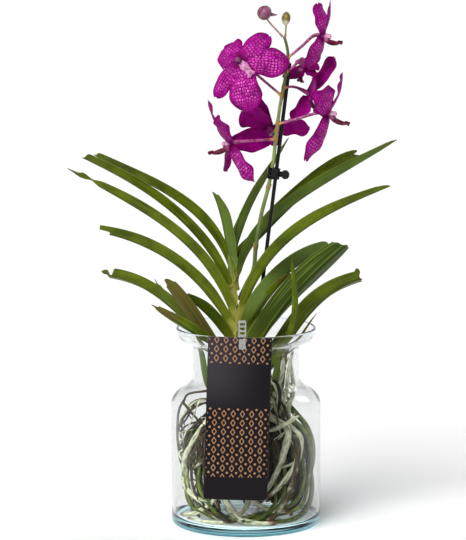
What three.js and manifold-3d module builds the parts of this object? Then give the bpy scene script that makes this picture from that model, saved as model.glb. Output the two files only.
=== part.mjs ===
// A vanda orchid with bare roots, standing in a clear glass vase.
// Millimetres, +Z up. The origin is the middle of the vase's underside and the front faces -Y.
import * as THREE from "three";
import { mergeVertices } from "three/addons/utils/BufferGeometryUtils.js";
import Module from "manifold-3d";

const wasm = await Module();
wasm.setup();

// ---------------------------------------------------------------- driving dimensions
const GAP = 0.3; // air left between pieces that touch
const RIM = 0.01; // offset that keeps two cuts from sharing a face

const VASE = {
  bodyRadius: 95,
  neckRadius: 67.4,
  rimRadius: 88.7,
  footRadius: 88,
  height: 253,
  shoulderTop: 194,
  shoulderStart: 154,
  neckTop: 225,
  wall: 3,
  floor: 9,
  sides: 28,
};

const STEM_PATH = [
  [-7.5, 0, 163],
  [-11, 0, 205],
  [-13, 0, 246],
  [-15, 0, 275],
  [-18, 0, 312],
  [-19, 1, 346],
];
const STEM_RADIUS = [8, 4]; // foot, tip

const SPIKE_PATH = [
  [-9, 6, 286],
  [0, 9, 305],
  [9.5, 7, 325],
  [12.5, 5, 355],
  [19.5, 2, 397],
  [28, 0.5, 431],
  [34, 0.5, 463],
  [38, 0, 499],
  [42, 0, 530],
  [48.5, 0, 566],
  [52.5, 0, 597],
  [50.5, 0, 611],
  [47.5, 0, 621],
];
const SPIKE_RADIUS = [2.9, 1.8];

const STAKE = { foot: [0, 4, 137], top: [54.7, 4, 586.5], radius: 2.4 };

// Each leaf is a folded strap through four points, a third of its length apart, from its base to its tip.
// "end" is the tip's width as a share of the leaf's, "roll" in degrees raises the edge towards the front.
const LEAVES = [
  {
    name: "leaf_left_1", width: 27, end: 0.35, roll: 16,
    path: [[-17, 0, 343], [-22, -3, 371], [-28, -5, 400], [-41, -7, 427]],
  },
  {
    name: "leaf_left_2", width: 28, end: 0.65, roll: 28,
    path: [[-18, 3, 330], [-61, 14, 397], [-125, 26, 439], [-191, 36, 471]],
  },
  {
    name: "leaf_left_3", width: 25, end: 0.95, roll: 28,
    path: [[-17, -1, 298], [-63, -4, 376], [-130, -6, 433], [-203, -8, 473]],
  },
  {
    name: "leaf_left_4", width: 26, end: 0.2, roll: 28,
    path: [[-16, -3, 271], [-65, -24, 357], [-139, -38, 416], [-222, -50, 461]],
  },
  {
    name: "leaf_left_5", width: 28, end: 0.8, roll: 34,
    path: [[-19, -4, 257], [-63, -15, 319], [-118, -24, 360], [-184, -30, 383]],
  },
  {
    name: "leaf_left_6", width: 28, end: 0.75, roll: 50,
    path: [[-14, 4, 190], [-61, 15, 246], [-115, 27, 295], [-184, 36, 319]],
  },
  {
    name: "leaf_left_7", width: 28, end: 0.5, roll: 44,
    path: [[-11, -4, 184], [-38, -18, 228], [-67, -28, 276], [-100, -36, 321]],
  },
  {
    name: "leaf_left_8", width: 28, end: 0.4, roll: 28,
    path: [[-18, -2, 236], [-36, -7, 262], [-56, -10, 283], [-80, -12, 298]],
  },
  {
    name: "leaf_left_9", width: 20, end: 0.25, roll: 45,
    path: [[-10, -11, 188], [-38, -36, 233], [-77, -50, 265], [-118, -58, 291]],
  },
  {
    name: "leaf_left_10", width: 18, end: 0.2, roll: 45,
    path: [[-16, 1, 206], [-46, 0, 240], [-84, 0, 274], [-115, 0, 314]],
  },
  {
    name: "leaf_right_1", width: 28, end: 0.25, roll: 20,
    path: [[-16, 4, 352], [-2, 13, 397], [20, 19, 440], [53, 24, 492]],
  },
  {
    name: "leaf_right_2", width: 31, end: 0.3, roll: 30,
    path: [[-10, 4, 325], [34, 27, 391], [112, 45, 444], [192, 58, 487]],
  },
  {
    name: "leaf_right_3", width: 36, end: 0.4, roll: 52,
    path: [[-10, 12, 342], [40, 52, 391], [98, 72, 441], [147, 82, 467]],
  },
  {
    name: "leaf_right_4", width: 28, end: 0.4, roll: 28,
    path: [[-6, -4, 273], [34, -25, 353], [99, -44, 406], [178, -58, 441]],
  },
  {
    name: "leaf_right_5", width: 38, end: 0.6, roll: 50,
    path: [[-6, -6, 251], [20, -18, 297], [58, 2, 334], [108, 24, 355]],
  },
  {
    name: "leaf_right_6", width: 46, end: 0.5, roll: 50,
    path: [[-2, -6, 205], [30, -20, 270], [77, -30, 327], [121, -38, 366]],
  },
  {
    name: "leaf_right_7", width: 42, end: 0.62, roll: 50,
    path: [[8, 2, 178], [47, 8, 232], [86, 26, 281], [146, 36, 314]],
  },
  {
    name: "leaf_right_8", width: 15, end: 0.2, roll: 0,
    path: [[-3, -4, 180], [50, -34, 236], [62, -47, 294], [56, -54, 348]],
  },
  {
    name: "leaf_right_9", width: 20, end: 0.3, roll: 24,
    path: [[-4, -6, 240], [14, -11, 275], [34, -15, 304], [56, -18, 325]],
  },
  {
    name: "leaf_right_10", width: 8, end: 0.15, roll: 0,
    path: [[-2, -2, 182], [45, -8, 214], [70, -12, 245], [89, -14, 272]],
  },
];
const LEAF_THICKNESS = 1.5;
const LEAF_KEEL = -0.38; // how far the keel lies under the path, as a share of the half width
const LEAF_FOLD = [64, 44, 24]; // degrees each half rises at the base, in the middle and at the tip

// Each bloom: its centre, the way it faces, where its stalk leaves the spike and a point it bends through,
// the five blades as [x, y, z of the tip from the centre, width, turn in degrees about their own length],
// and the lip's tip from the centre.
const BLOOMS = [
  {
    name: "a",
    centre: [-9, -26, 593],
    facing: [-0.2, -0.97, 0.15],
    node: [44.5, 0, 547],
    blades: [
      [-20, 33, 12, 42],
      [38, 10, 30, 27],
      [63, 3, -5, 36],
      [13, -8, -64, 40],
      [-29, 3, -47, 21],
    ],
    lip: [16, -15, -17],
  },
  {
    name: "b",
    centre: [-20, -12, 488],
    facing: [-1, -0.12, -0.15],
    node: [37, 0, 492],
    blades: [
      [-28, 0, 54, 20],
      [-12, -38, 36, 26, 40],
      [49, 38, 3, 30],
      [31, -18, -46, 24, -30],
      [-3, 26, -38, 22, 35],
    ],
    lip: [-27, -3, -13],
  },
  {
    name: "c",
    centre: [31, 36, 502],
    facing: [0.1, 0.74, 0.6],
    node: [38.5, 0, 503],
    bend: [33, 10, 500],
    blades: [
      [-27, -14, 49, 21],
      [-37, -8, 22, 40],
      [50, -6, 1, 28],
      [-18, 34, -25, 25],
      [0, 42, -26, 24],
    ],
    lip: [4, 16, -8],
  },
  {
    name: "d",
    centre: [79, 26, 547],
    facing: [0.82, 0.15, -0.5],
    node: [46.5, 0, 557],
    bend: [58, -1.5, 558],
    blades: [
      [33, 2, 46, 28, 24],
      [9, 46, 13, 25],
      [8, -36, 12, 28, 20],
      [-22, 30, -34, 26],
      [-18, -20, -34, 31, -26],
    ],
    lip: [14, 2, -22],
  },
  {
    name: "e",
    centre: [72, 18, 584],
    facing: [0.15, 0.55, -0.82],
    node: [49.5, 0, 575],
    bend: [58, -1.5, 582],
    blades: [
      [21, 4, -4, 16],
      [-25, 6, -17, 20],
      [2, 24, 7, 22],
      [17, -8, -13, 13],
      [-13, -9, -16, 19],
    ],
    lip: [-4, 2, -21],
  },
  {
    name: "f",
    centre: [96, -4, 622],
    facing: [1, -0.12, -0.1],
    node: [52.5, 0, 594],
    blades: [
      [9, 6, 44, 18],
      [-9, -18, 42, 20, -38],
      [-20, -14, -38, 27, 28],
      [-3, 42, 20, 24],
      [-6, 36, -28, 24],
    ],
    lip: [24, -2, -9],
  },
  {
    name: "g",
    centre: [103, -16, 526],
    facing: [1, -0.15, -0.1],
    node: [40, 0, 511],
    blades: [
      [18, 4, 50, 20],
      [-12, -28, 32, 38, -32],
      [-29, -12, -59, 27, 28],
      [-6, 44, 20, 24],
      [-10, 36, -36, 24],
    ],
    lip: [26, -2, -14],
  },
];
const BLADE_THICKNESS = 1;
const LIP_THICKNESS = 3;
const PEDICEL_RADIUS = [1.4, 1.7, 3.2]; // at the spike, along it, behind the flower

const BUDS = [
  {
    name: "bud_1",
    centre: [23, 0, 650.5],
    size: [9.5, 9],
    lean: [0.55, 0, 0.83],
    beak: [39, 0, 648],
    foot: [26, 0, 643],
    fork: [46, 0, 620.4],
  },
  {
    name: "bud_2",
    centre: [50, 0, 643.5],
    size: [8.5, 5.6],
    lean: [0.1, 0, 1],
    beak: null,
    foot: [50, 0, 637],
    fork: [49.1, 0, 620.4],
  },
];

// Roots that are seen from the front: a path from the crown or from another root, and a radius.
const ROOT_PATHS = [
  {
    radius: 4.2,
    path: [
      [0, -6, 155], [30, -24, 141], [52, -40, 128], [47, -46, 98], [36, -50, 70], [22, -52, 46],
    ],
  },
  {
    radius: 3.8,
    path: [
      [2, -4, 150], [40, -20, 138], [60, -34, 126], [68, -38, 116], [63, -46, 86], [46, -52, 62],
      [26, -54, 42],
    ],
  },
  {
    radius: 2.4,
    path: [
      [10, -20, 132], [30, -44, 128], [53, -50, 139], [68, -48, 149],
    ],
  },
  {
    radius: 3.4,
    path: [
      [0, 0, 165], [22, -8, 170], [36, -14, 186], [50, -18, 204],
    ],
  },
  {
    radius: 2.8,
    path: [
      [6, 0, 150], [36, -4, 138], [53, -6, 146], [59, -6, 168], [59, -4, 188], [56, -4, 212],
    ],
  },
  {
    radius: 3.5,
    path: [
      [4, 4, 158], [44, 6, 152], [72, 0, 132], [83, -6, 110], [85, -8, 82], [78, -16, 62],
      [56, -30, 36],
    ],
  },
  {
    radius: 3.1,
    path: [
      [2, 8, 148], [46, 10, 134], [76, -14, 112], [80, -24, 84], [66, -36, 52], [48, -44, 32],
    ],
  },
  {
    radius: 3.5,
    path: [
      [6, 6, 140], [60, 20, 112], [82, 18, 70], [84, 2, 34], [68, -32, 15], [42, -62, 14],
      [14, -60, 14],
    ],
  },
  {
    radius: 4.6,
    path: [
      [-6, -8, 142], [-16, -24, 92], [-28, -40, 46], [-8, -62, 18], [16, -76, 14.5], [38, -76, 14.5],
    ],
  },
  {
    radius: 3.6,
    path: [
      [-2, -10, 140], [0, -36, 76], [9, -54, 40], [28, -60, 29], [54, -58, 26],
    ],
  },
  {
    radius: 3.1,
    path: [
      [-4, 0, 138], [10, -30, 62], [-3, -52, 26], [-25, -64, 13.5], [-47, -62, 13], [-74, -38, 13],
    ],
  },
  {
    radius: 3.1,
    path: [
      [-10, 0, 150], [-44, -8, 126], [-68, -14, 92], [-79, -20, 66], [-75, -36, 52], [-64, -46, 42],
      [-40, -52, 34],
    ],
  },
  {
    radius: 3.5,
    path: [
      [-8, -8, 144], [-30, -36, 86], [-40, -52, 40], [-62, -46, 22], [-82, -24, 14],
    ],
  },
  {
    radius: 3.6,
    path: [
      [-10, -2, 156], [-36, -14, 146], [-53, -24, 130], [-66, -28, 112], [-77, -30, 88],
      [-79, -26, 64],
    ],
  },
  {
    radius: 3.2,
    path: [
      [-8, -6, 148], [-30, -22, 112], [-51, -36, 90], [-68, -40, 76],
    ],
  },
  {
    radius: 1.7,
    path: [
      [-10, 0, 166], [-30, -6, 175], [-51, -10, 173], [-75, -14, 166], [-80, -15, 153],
    ],
  },
  {
    radius: 1.6,
    path: [
      [-78, -15, 160], [-84, -13, 150], [-87, -10, 121], [-85, -8, 93], [-78, -18, 78],
    ],
  },
  {
    radius: 1.5,
    path: [
      [-80, -15, 156], [-70, -18, 146], [-56, -22, 132],
    ],
  },
];
// Roots behind and beside them, which swing round the glass in the same way.
const SWEEPING_ROOTS = { count: 9, radius: 3.3, reach: 83, startAngle: -28, stepAngle: 24, turn: 70 };

const TAG = {
  width: 79.5,
  height: 205,
  thickness: 0.8,
  topX: -7.6, // middle of the top edge
  lean: 1.7, // degrees that the card is turned, so that its foot swings to the left
  bottomZ: 49,
  curl: 2.4, // how far the side edges bend back
};
const HANGER = {
  x: -5,
  width: 10,
  thickness: 1.3,
  top: 275,
  peg: 4,
  slotDrop: 5, // how far the card's slot lies below the rim
  plateWidth: 8.5,
  plateHeight: 13,
};

const CLIP = {
  z: 448.5,
  height: 14,
  reach: 6.8,
  wall: 1.4,
  pinRadius: 1,
  knuckle: 2.3,
  pinReach: 9.4,
  tab: 5.6,
  spread: 17, // degrees
};

// ---------------------------------------------------------------- materials
function finish(color, roughness, extra = {}) {
  return new THREE.MeshStandardMaterial({ color, roughness, ...extra });
}
const MATERIALS = {
  glass: finish(0xd8ecec, 0.05, { transparent: true, opacity: 0.3 }),
  root: finish(0x9a9c80, 0.8),
  stem: finish(0xa9a648, 0.6),
  leaf: finish(0x567a22, 0.5),
  oldLeaf: finish(0x5c5a2c, 0.7),
  spike: finish(0x8a9a52, 0.5),
  petal: finish(0xb0109a, 0.6),
  lip: finish(0x6a0a3c, 0.5),
  column: finish(0xd8a0c0, 0.5),
  bud: finish(0x9a6480, 0.5),
  greenBud: finish(0x8c8840, 0.5),
  stake: finish(0x17181a, 0.35),
  clip: finish(0x101214, 0.3),
  card: finish(0x1d1c20, 0.55),
  hanger: finish(0xe8eef0, 0.1, { transparent: true, opacity: 0.4 }),
};

// ---------------------------------------------------------------- solids
const v = (p) => new THREE.Vector3(...p);
const mix = THREE.MathUtils.lerp;
const radians = THREE.MathUtils.degToRad;

function asSolid(geometry) {
  const bare = geometry.clone();
  bare.deleteAttribute("normal");
  bare.deleteAttribute("uv");
  const merged = mergeVertices(bare, 1e-4);
  const triVerts = new Uint32Array(merged.index.array);
  const vertProperties = new Float32Array(merged.attributes.position.array);
  const made = new wasm.Manifold(new wasm.Mesh({ numProp: 3, vertProperties, triVerts }));
  if (made.volume() > 0) return made;
  for (let i = 0; i < triVerts.length; i += 3) {
    [triVerts[i], triVerts[i + 1]] = [triVerts[i + 1], triVerts[i]];
  }
  return new wasm.Manifold(new wasm.Mesh({ numProp: 3, vertProperties, triVerts }));
}

function asGeometry(made) {
  const mesh = made.getMesh();
  const geometry = new THREE.BufferGeometry();
  geometry.setAttribute("position", new THREE.Float32BufferAttribute(mesh.vertProperties, mesh.numProp));
  geometry.setIndex(Array.from(mesh.triVerts));
  geometry.computeVertexNormals();
  return geometry;
}

// The largest body that is left when a piece has been cut.
function largest(made) {
  return made.decompose().reduce((best, body) => (body.volume() > best.volume() ? body : best));
}

// A closed skin over rings of points, each ring listed the same way round.
function loft(rings) {
  const sides = rings[0].length;
  const last = (rings.length - 1) * sides;
  const index = [];
  for (let r = 0; r < rings.length - 1; r++) {
    for (let s = 0; s < sides; s++) {
      const a = r * sides + s;
      const b = r * sides + ((s + 1) % sides);
      index.push(a, b, b + sides, a, b + sides, a + sides);
    }
  }
  for (let s = 1; s < sides - 1; s++) {
    index.push(0, s + 1, s, last, last + s, last + s + 1);
  }
  const geometry = new THREE.BufferGeometry().setFromPoints(rings.flat());
  geometry.setIndex(index);
  return asSolid(geometry);
}

// A round stalk along a smooth curve through the points, its radius a function of 0 to 1.
function stalk(points, radius, sides, steps) {
  const curve = new THREE.CatmullRomCurve3(points.map(v), false, "centripetal");
  const frames = curve.computeFrenetFrames(steps);
  const rings = [];
  for (let i = 0; i <= steps; i++) {
    const centre = curve.getPointAt(i / steps);
    const r = radius(i / steps);
    rings.push(
      Array.from({ length: sides }, (_, s) => {
        const angle = (2 * Math.PI * s) / sides;
        return centre
          .clone()
          .addScaledVector(frames.normals[i], r * Math.cos(angle))
          .addScaledVector(frames.binormals[i], r * Math.sin(angle));
      })
    );
  }
  return loft(rings);
}

// A thin blade over rows of points, with both faces split into triangles alike.
function blade(rows, thickness) {
  const across = rows[0].length;
  const total = rows.length * across;
  const at = (i, j) => rows[Math.min(Math.max(i, 0), rows.length - 1)][Math.min(Math.max(j, 0), across - 1)];
  const faces = [[], []];
  rows.forEach((row, i) =>
    row.forEach((point, j) => {
      const along = at(i + 1, j).clone().sub(at(i - 1, j));
      const sideways = at(i, j + 1).clone().sub(at(i, j - 1));
      const normal = along.cross(sideways).normalize();
      faces[0].push(point.clone().addScaledVector(normal, thickness / 2));
      faces[1].push(point.clone().addScaledVector(normal, -thickness / 2));
    })
  );
  const index = [];
  const quad = (a, b, c, d) => index.push(a, b, c, a, c, d);
  for (let i = 0; i < rows.length - 1; i++) {
    for (let j = 0; j < across - 1; j++) {
      const a = i * across + j;
      const b = a + across;
      index.push(a, b, b + 1, a, b + 1, a + 1);
      index.push(total + a, total + b + 1, total + b, total + a, total + a + 1, total + b + 1);
    }
  }
  for (let i = 0; i < rows.length - 1; i++) {
    const a = i * across;
    const b = a + across - 1;
    quad(a, total + a, total + a + across, a + across);
    quad(b, b + across, total + b + across, total + b);
  }
  for (let j = 0; j < across - 1; j++) {
    const c = (rows.length - 1) * across + j;
    quad(j, j + 1, total + j + 1, total + j);
    quad(c, total + c, total + c + 1, c + 1);
  }
  const geometry = new THREE.BufferGeometry().setFromPoints(faces.flat());
  geometry.setIndex(index);
  return asSolid(geometry);
}

// The cubic curve that passes its four points at 0, 1/3, 2/3 and 1.
function curveThrough([p0, p1, p2, p3]) {
  const blend = (shares) =>
    [p0, p1, p2, p3].reduce((sum, p, i) => sum.addScaledVector(v(p), shares[i]), new THREE.Vector3());
  const first = blend([-5 / 6, 3, -1.5, 1 / 3]);
  const second = blend([1 / 3, -1.5, 3, -5 / 6]);
  return new THREE.CubicBezierCurve3(v(p0), first, second, v(p3));
}

// ---------------------------------------------------------------- vase
// The outline from the middle of the underside, up the outside, over the rim and down the inside.
function makeVase() {
  const { bodyRadius, neckRadius, rimRadius, footRadius, height, wall, floor } = VASE;
  const { shoulderTop, shoulderStart, neckTop } = VASE;
  const shoulderEnd = shoulderTop - 22;
  const shoulderFoot = shoulderStart + 22;
  const bodyInside = bodyRadius - wall;
  const neckInside = neckRadius - wall;
  const mouth = rimRadius - wall;
  const corner = 6;
  const path = new THREE.Path();
  path.moveTo(0, 0);
  path.lineTo(footRadius, 0);
  path.quadraticCurveTo(bodyRadius, 0, bodyRadius, 8);
  path.lineTo(bodyRadius, shoulderStart);
  path.bezierCurveTo(bodyRadius, shoulderFoot, neckRadius, shoulderEnd, neckRadius, shoulderTop);
  path.lineTo(neckRadius, neckTop);
  path.bezierCurveTo(neckRadius, neckTop + 12, rimRadius - 3, neckTop + 4, rimRadius, height - 2);
  path.lineTo(rimRadius - 1, height);
  path.lineTo(mouth, height);
  path.bezierCurveTo(mouth - 2, neckTop + 7, neckInside, neckTop + 14, neckInside, neckTop);
  path.lineTo(neckInside, shoulderTop);
  path.bezierCurveTo(neckInside, shoulderEnd, bodyInside, shoulderFoot, bodyInside, shoulderStart);
  path.lineTo(bodyInside, floor + corner);
  path.quadraticCurveTo(bodyInside, floor, bodyInside - corner, floor);
  path.lineTo(0, floor);
  const curvePoints = 4;
  return asSolid(new THREE.LatheGeometry(path.getPoints(curvePoints), VASE.sides).rotateX(Math.PI / 2));
}

// ---------------------------------------------------------------- stem, spike and stake
function makeStem(grow = 0) {
  return stalk(STEM_PATH, (t) => mix(...STEM_RADIUS, t) + grow, 9, 9);
}

function makeSpike(grow = 0) {
  return stalk(SPIKE_PATH, (t) => mix(...SPIKE_RADIUS, t) + grow, 7, 16);
}

function makeStake(grow = 0) {
  const foot = v(STAKE.foot);
  const top = v(STAKE.top);
  foot.addScaledVector(top.clone().sub(foot).normalize(), -grow);
  return stalk([foot.toArray(), top.toArray()], () => STAKE.radius + grow, 8, 1);
}

// ---------------------------------------------------------------- leaves
const LEAF_STATIONS = [0, 0.1, 0.24, 0.4, 0.56, 0.72, 0.86, 0.95, 1];

// A leaf's half width as a share of its widest: it clasps at the base and narrows over the last third.
function leafSpread(t, end) {
  const base = mix(0.72, 1, Math.min(t / 0.2, 1));
  const tip = t < 0.6 ? 1 : mix(1, end, ((t - 0.6) / 0.4) ** 1.7);
  return base * tip;
}

function makeLeaf(leaf, grow = 0) {
  const curve = curveThrough(leaf.path);
  const reach = v(leaf.path[3]).sub(v(leaf.path[0])).setZ(0).normalize();
  const level = reach.clone().cross(new THREE.Vector3(0, 0, 1));
  const rows = LEAF_STATIONS.map((t) => {
    const centre = curve.getPoint(t);
    const along = curve.getTangent(t);
    const up = level.clone().cross(along).normalize();
    const side = along.clone().cross(up).normalize();
    const half = (leaf.width / 2) * leafSpread(t, leaf.end) + grow;
    centre.addScaledVector(up, LEAF_KEEL * half);
    const front = side.y < 0 ? 1 : -1;
    const roll = -front * radians(leaf.roll) * Math.min(t / 0.3, 1);
    up.applyAxisAngle(along, roll);
    side.applyAxisAngle(along, roll);
    const [baseFold, middleFold, tipFold] = LEAF_FOLD;
    const fold = radians(t < 0.5 ? mix(baseFold, middleFold, t * 2) : mix(middleFold, tipFold, t * 2 - 1));
    return [-1, 0, 1].map((s) =>
      centre
        .clone()
        .addScaledVector(side, s * half * Math.cos(fold))
        .addScaledVector(up, Math.abs(s) * half * Math.sin(fold))
    );
  });
  return blade(rows, LEAF_THICKNESS + 2 * grow);
}

// ---------------------------------------------------------------- blooms
const BLADE_STATIONS = [0, 0.22, 0.46, 0.7, 0.89, 1];
const BLADE_START = 2.4; // how far from the centre a blade starts, inside the hub
const BLADE_LIFTS = [0, 1.5, 0, 1.5, 0.7]; // neighbours lie in front of and behind each other

// A petal's half width as a share of its widest: a narrow claw, then a round paddle.
function petalSpread(t) {
  const claw = 0.38;
  const widest = 0.6;
  if (t < widest) return mix(claw, 1, Math.sin((Math.PI / 2) * (t / widest)) ** 0.9);
  return Math.max(Math.sqrt(1 - ((t - widest) / (1 - widest)) ** 2.4), 0.16);
}

function makePetal(bloom, i) {
  const [x, y, z, width, turn = 0] = bloom.blades[i];
  const tip = v([x, y, z]);
  const length = tip.length();
  const along = tip.clone().normalize();
  const face = v(bloom.facing).normalize();
  const normal = face.clone().addScaledVector(along, -face.dot(along)).normalize();
  normal.applyAxisAngle(along, radians(turn));
  const side = along.clone().cross(normal);
  const rows = BLADE_STATIONS.map((station) => {
    const t = mix(BLADE_START / length, 1, station);
    const half = (width / 2) * petalSpread(t);
    const arch = 0.09 * length * Math.sin(Math.PI * t);
    const wave = 0.09 * width * Math.sin(4 * Math.PI * t + 1.7 * i) * t;
    return [-1, 0, 1].map((s) =>
      v(bloom.centre)
        .addScaledVector(along, length * t)
        .addScaledVector(side, s * half)
        .addScaledVector(normal, BLADE_LIFTS[i] + arch - 0.22 * Math.abs(s) * half + s * wave)
    );
  });
  return blade(rows, BLADE_THICKNESS);
}

function makePedicel(bloom) {
  const face = v(bloom.facing).normalize();
  const back = v(bloom.centre).addScaledVector(face, -10);
  const node = v(bloom.node);
  const bend = bloom.bend ? v(bloom.bend) : node.clone().lerp(back, 0.5);
  const points = [node, bend, back, v(bloom.centre).addScaledVector(face, 1)].map((p) => p.toArray());
  const [thin, middle, thick] = PEDICEL_RADIUS;
  const radius = (t) => (t < 0.7 ? mix(thin, middle, t / 0.7) : mix(middle, thick, (t - 0.7) / 0.3));
  return stalk(points, radius, 6, 6);
}

// The column stands out of the middle of the flower, and the lip hangs below it.
function makeColumn(bloom, grow = 0) {
  const face = v(bloom.facing).normalize();
  const foot = v(bloom.centre).addScaledVector(face, 1.6 - grow);
  const tip = v(bloom.centre).addScaledVector(face, 11 + grow);
  return stalk([foot.toArray(), tip.toArray()], (t) => mix(4, 2.8, t) + grow, 6, 2);
}

function makeLip(bloom, grow = 0) {
  const face = v(bloom.facing).normalize();
  const tip = v(bloom.lip);
  const along = tip.clone().normalize();
  const drop = tip.clone().addScaledVector(face, -tip.dot(face)).normalize();
  const side = along.clone().cross(face).normalize();
  const up = side.clone().cross(along).normalize();
  const start = v(bloom.centre).addScaledVector(drop, 4.6).addScaledVector(face, 2);
  const end = v(bloom.centre).add(tip);
  const halves = [3.6, 5.6, 4.2, 3.6, 5.4];
  const rows = halves.map((half, i) => {
    const t = mix(-grow / 10, 1 + grow / 10, i / (halves.length - 1));
    return [-1, 0, 1].map((s) =>
      start
        .clone()
        .lerp(end, t)
        .addScaledVector(side, s * (half + grow))
        .addScaledVector(up, 1.6 * Math.abs(s) - 2.5 * Math.sin(Math.PI * t))
    );
  });
  return blade(rows, LIP_THICKNESS + 2 * grow);
}

function makeBloom(bloom) {
  const petals = bloom.blades.map((_, i) => makePetal(bloom, i));
  return petals.reduce((joined, petal) => joined.add(petal), makePedicel(bloom));
}

// ---------------------------------------------------------------- buds
function makeBud(bud) {
  const [halfLength, radius] = bud.size;
  const egg = new THREE.SphereGeometry(1, 9, 6).rotateX(Math.PI / 2).scale(radius, radius, halfLength);
  const turn = new THREE.Quaternion().setFromUnitVectors(new THREE.Vector3(0, 0, 1), v(bud.lean).normalize());
  egg.applyQuaternion(turn).translate(...bud.centre);
  let made = asSolid(egg).add(stalk([bud.fork, bud.foot, bud.centre], () => 1.3, 6, 4));
  if (bud.beak) made = made.add(stalk([bud.centre, bud.beak], (t) => mix(6, 0.7, t), 6, 3));
  return made;
}

// ---------------------------------------------------------------- roots
const CROWN = { centre: [-6, 0, 152], radius: 13, halfHeight: 21 };

function makeRoots() {
  const floorTop = VASE.floor;
  const thinning = (r) => (t) => r * (t < 0.75 ? 1 : mix(1, 0.55, (t - 0.75) / 0.25));
  const crown = new THREE.SphereGeometry(1, 9, 6).rotateX(Math.PI / 2);
  crown.scale(CROWN.radius, CROWN.radius, CROWN.halfHeight).translate(...CROWN.centre);
  const parts = [asSolid(crown)];
  for (const { radius, path } of ROOT_PATHS) {
    parts.push(stalk(path, thinning(radius), 5, path.length));
  }
  for (let i = 0; i < SWEEPING_ROOTS.count; i++) {
    const { startAngle, stepAngle, turn, radius, reach } = SWEEPING_ROOTS;
    const angle = radians(startAngle + stepAngle * i);
    const swing = radians(turn) * (i % 2 ? 1 : -0.6);
    const r = radius * (1 - 0.08 * (i % 3));
    const around = (share, distance, z) => {
      const a = angle + swing * share;
      return [distance * Math.cos(a), distance * Math.sin(a), z];
    };
    const out = reach - 7 * (i % 3);
    const path = [
      CROWN.centre,
      around(0, 0.45 * out, 146 - 5 * (i % 3)),
      around(0.1, 0.9 * out, 116 - 9 * (i % 2)),
      around(0.35, out, 76),
      around(0.7, out, 36),
      around(1, out - 9, floorTop + GAP + r),
    ];
    parts.push(stalk(path, thinning(r), 5, 6));
  }
  const joined = parts.reduce((sum, part) => sum.add(part));
  return joined.translate([0, 0, floorTop + GAP - joined.boundingBox().min[2]]);
}

// ---------------------------------------------------------------- card and its hanger
// How far out the card lies at a height: from the rim it leans out to the body and then hangs straight.
function tagDepth(z) {
  const touch = 148;
  const top = VASE.rimRadius + GAP + HANGER.thickness + GAP + TAG.thickness / 2 + 0.3;
  const low = VASE.bodyRadius + GAP + TAG.thickness / 2 + 0.4;
  const share = THREE.MathUtils.smoothstep(z, touch, VASE.height);
  return -mix(low, top, share);
}

function makeTag() {
  const columns = 5;
  const levels = 7;
  const rows = Array.from({ length: levels }, (_, i) => {
    const z = TAG.bottomZ + (TAG.height * i) / (levels - 1);
    const middle = TAG.topX - Math.tan(radians(TAG.lean)) * (TAG.bottomZ + TAG.height - z);
    return Array.from({ length: columns }, (_, j) => {
      const s = (2 * j) / (columns - 1) - 1;
      const drop = (s * TAG.width * Math.sin(radians(TAG.lean))) / 2;
      return new THREE.Vector3(middle + (s * TAG.width) / 2, tagDepth(z) + TAG.curl * s * s, z - drop);
    });
  });
  const slotZ = VASE.height - HANGER.slotDrop;
  const slot = new THREE.BoxGeometry(HANGER.peg + 2, 12, 4).translate(HANGER.x, tagDepth(slotZ), slotZ);
  return blade(rows, TAG.thickness).subtract(asSolid(slot));
}

// A notched strap that stands over the rim, hooked on the glass behind and through the card in front.
function makeHanger() {
  const { x, width, thickness, top, peg, plateWidth, plateHeight } = HANGER;
  const front = -(VASE.rimRadius + GAP);
  const box = (w, depth, height, y, z) => new THREE.BoxGeometry(w, depth, height).translate(x, y, z);
  const bridgeZ = VASE.height + GAP + thickness / 2;
  const insideY = -(VASE.rimRadius - VASE.wall - 3.6);
  const strap = new THREE.Shape();
  strap.moveTo(-width / 2, VASE.height - 9);
  strap.lineTo(width / 2, VASE.height - 9);
  strap.lineTo(width / 2, top - 1.5);
  strap.lineTo(width / 2 - 1.5, top);
  strap.lineTo(-width / 2 + 1.5, top);
  strap.lineTo(-width / 2, top - 1.5);
  for (let i = 0; i < 3; i++) {
    const window = new THREE.Path();
    const low = VASE.height + 4.5 + 5.6 * i;
    window.moveTo(-width / 2 + 2, low);
    window.lineTo(-width / 2 + 2, low + 3);
    window.lineTo(width / 2 - 2, low + 3);
    window.lineTo(width / 2 - 2, low);
    strap.holes.push(window);
  }
  const leg = new THREE.ExtrudeGeometry(strap, { depth: thickness, bevelEnabled: false });
  leg.rotateX(Math.PI / 2).translate(x, front, 0);
  const slotZ = VASE.height - HANGER.slotDrop;
  const plateY = tagDepth(slotZ) - TAG.thickness / 2 - GAP - thickness / 2 - 0.2;
  const bridgeLength = insideY - front + thickness;
  const pieces = [
    box(width, bridgeLength, thickness, (insideY + front) / 2 + RIM, bridgeZ),
    box(width, thickness, 8, insideY + thickness / 2, bridgeZ - 4 + thickness / 2 - RIM),
    box(peg, Math.abs(plateY - front), 1.8, (plateY + front) / 2, slotZ),
    box(plateWidth, thickness, plateHeight, plateY, slotZ - plateHeight / 2 + 4),
  ];
  return pieces.reduce((joined, piece) => joined.add(asSolid(piece)), asSolid(leg));
}

// ---------------------------------------------------------------- clip
// Both jaws are drawn in a plan that lies square to the stake, with the pin to the right of the stalks.
const stakeAt = (z) => v(STAKE.foot).lerp(v(STAKE.top), (z - STAKE.foot[2]) / (STAKE.top[2] - STAKE.foot[2]));
const stakeWay = v(STAKE.top).sub(v(STAKE.foot)).normalize();
const CLIP_CENTRE = stakeAt(CLIP.z).add(new THREE.Vector3(-3.3, -1.75, 0));

function placeOnStake(geometry) {
  const lean = Math.atan2(stakeWay.x, stakeWay.z);
  return geometry.rotateY(lean).translate(...CLIP_CENTRE.toArray());
}

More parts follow.
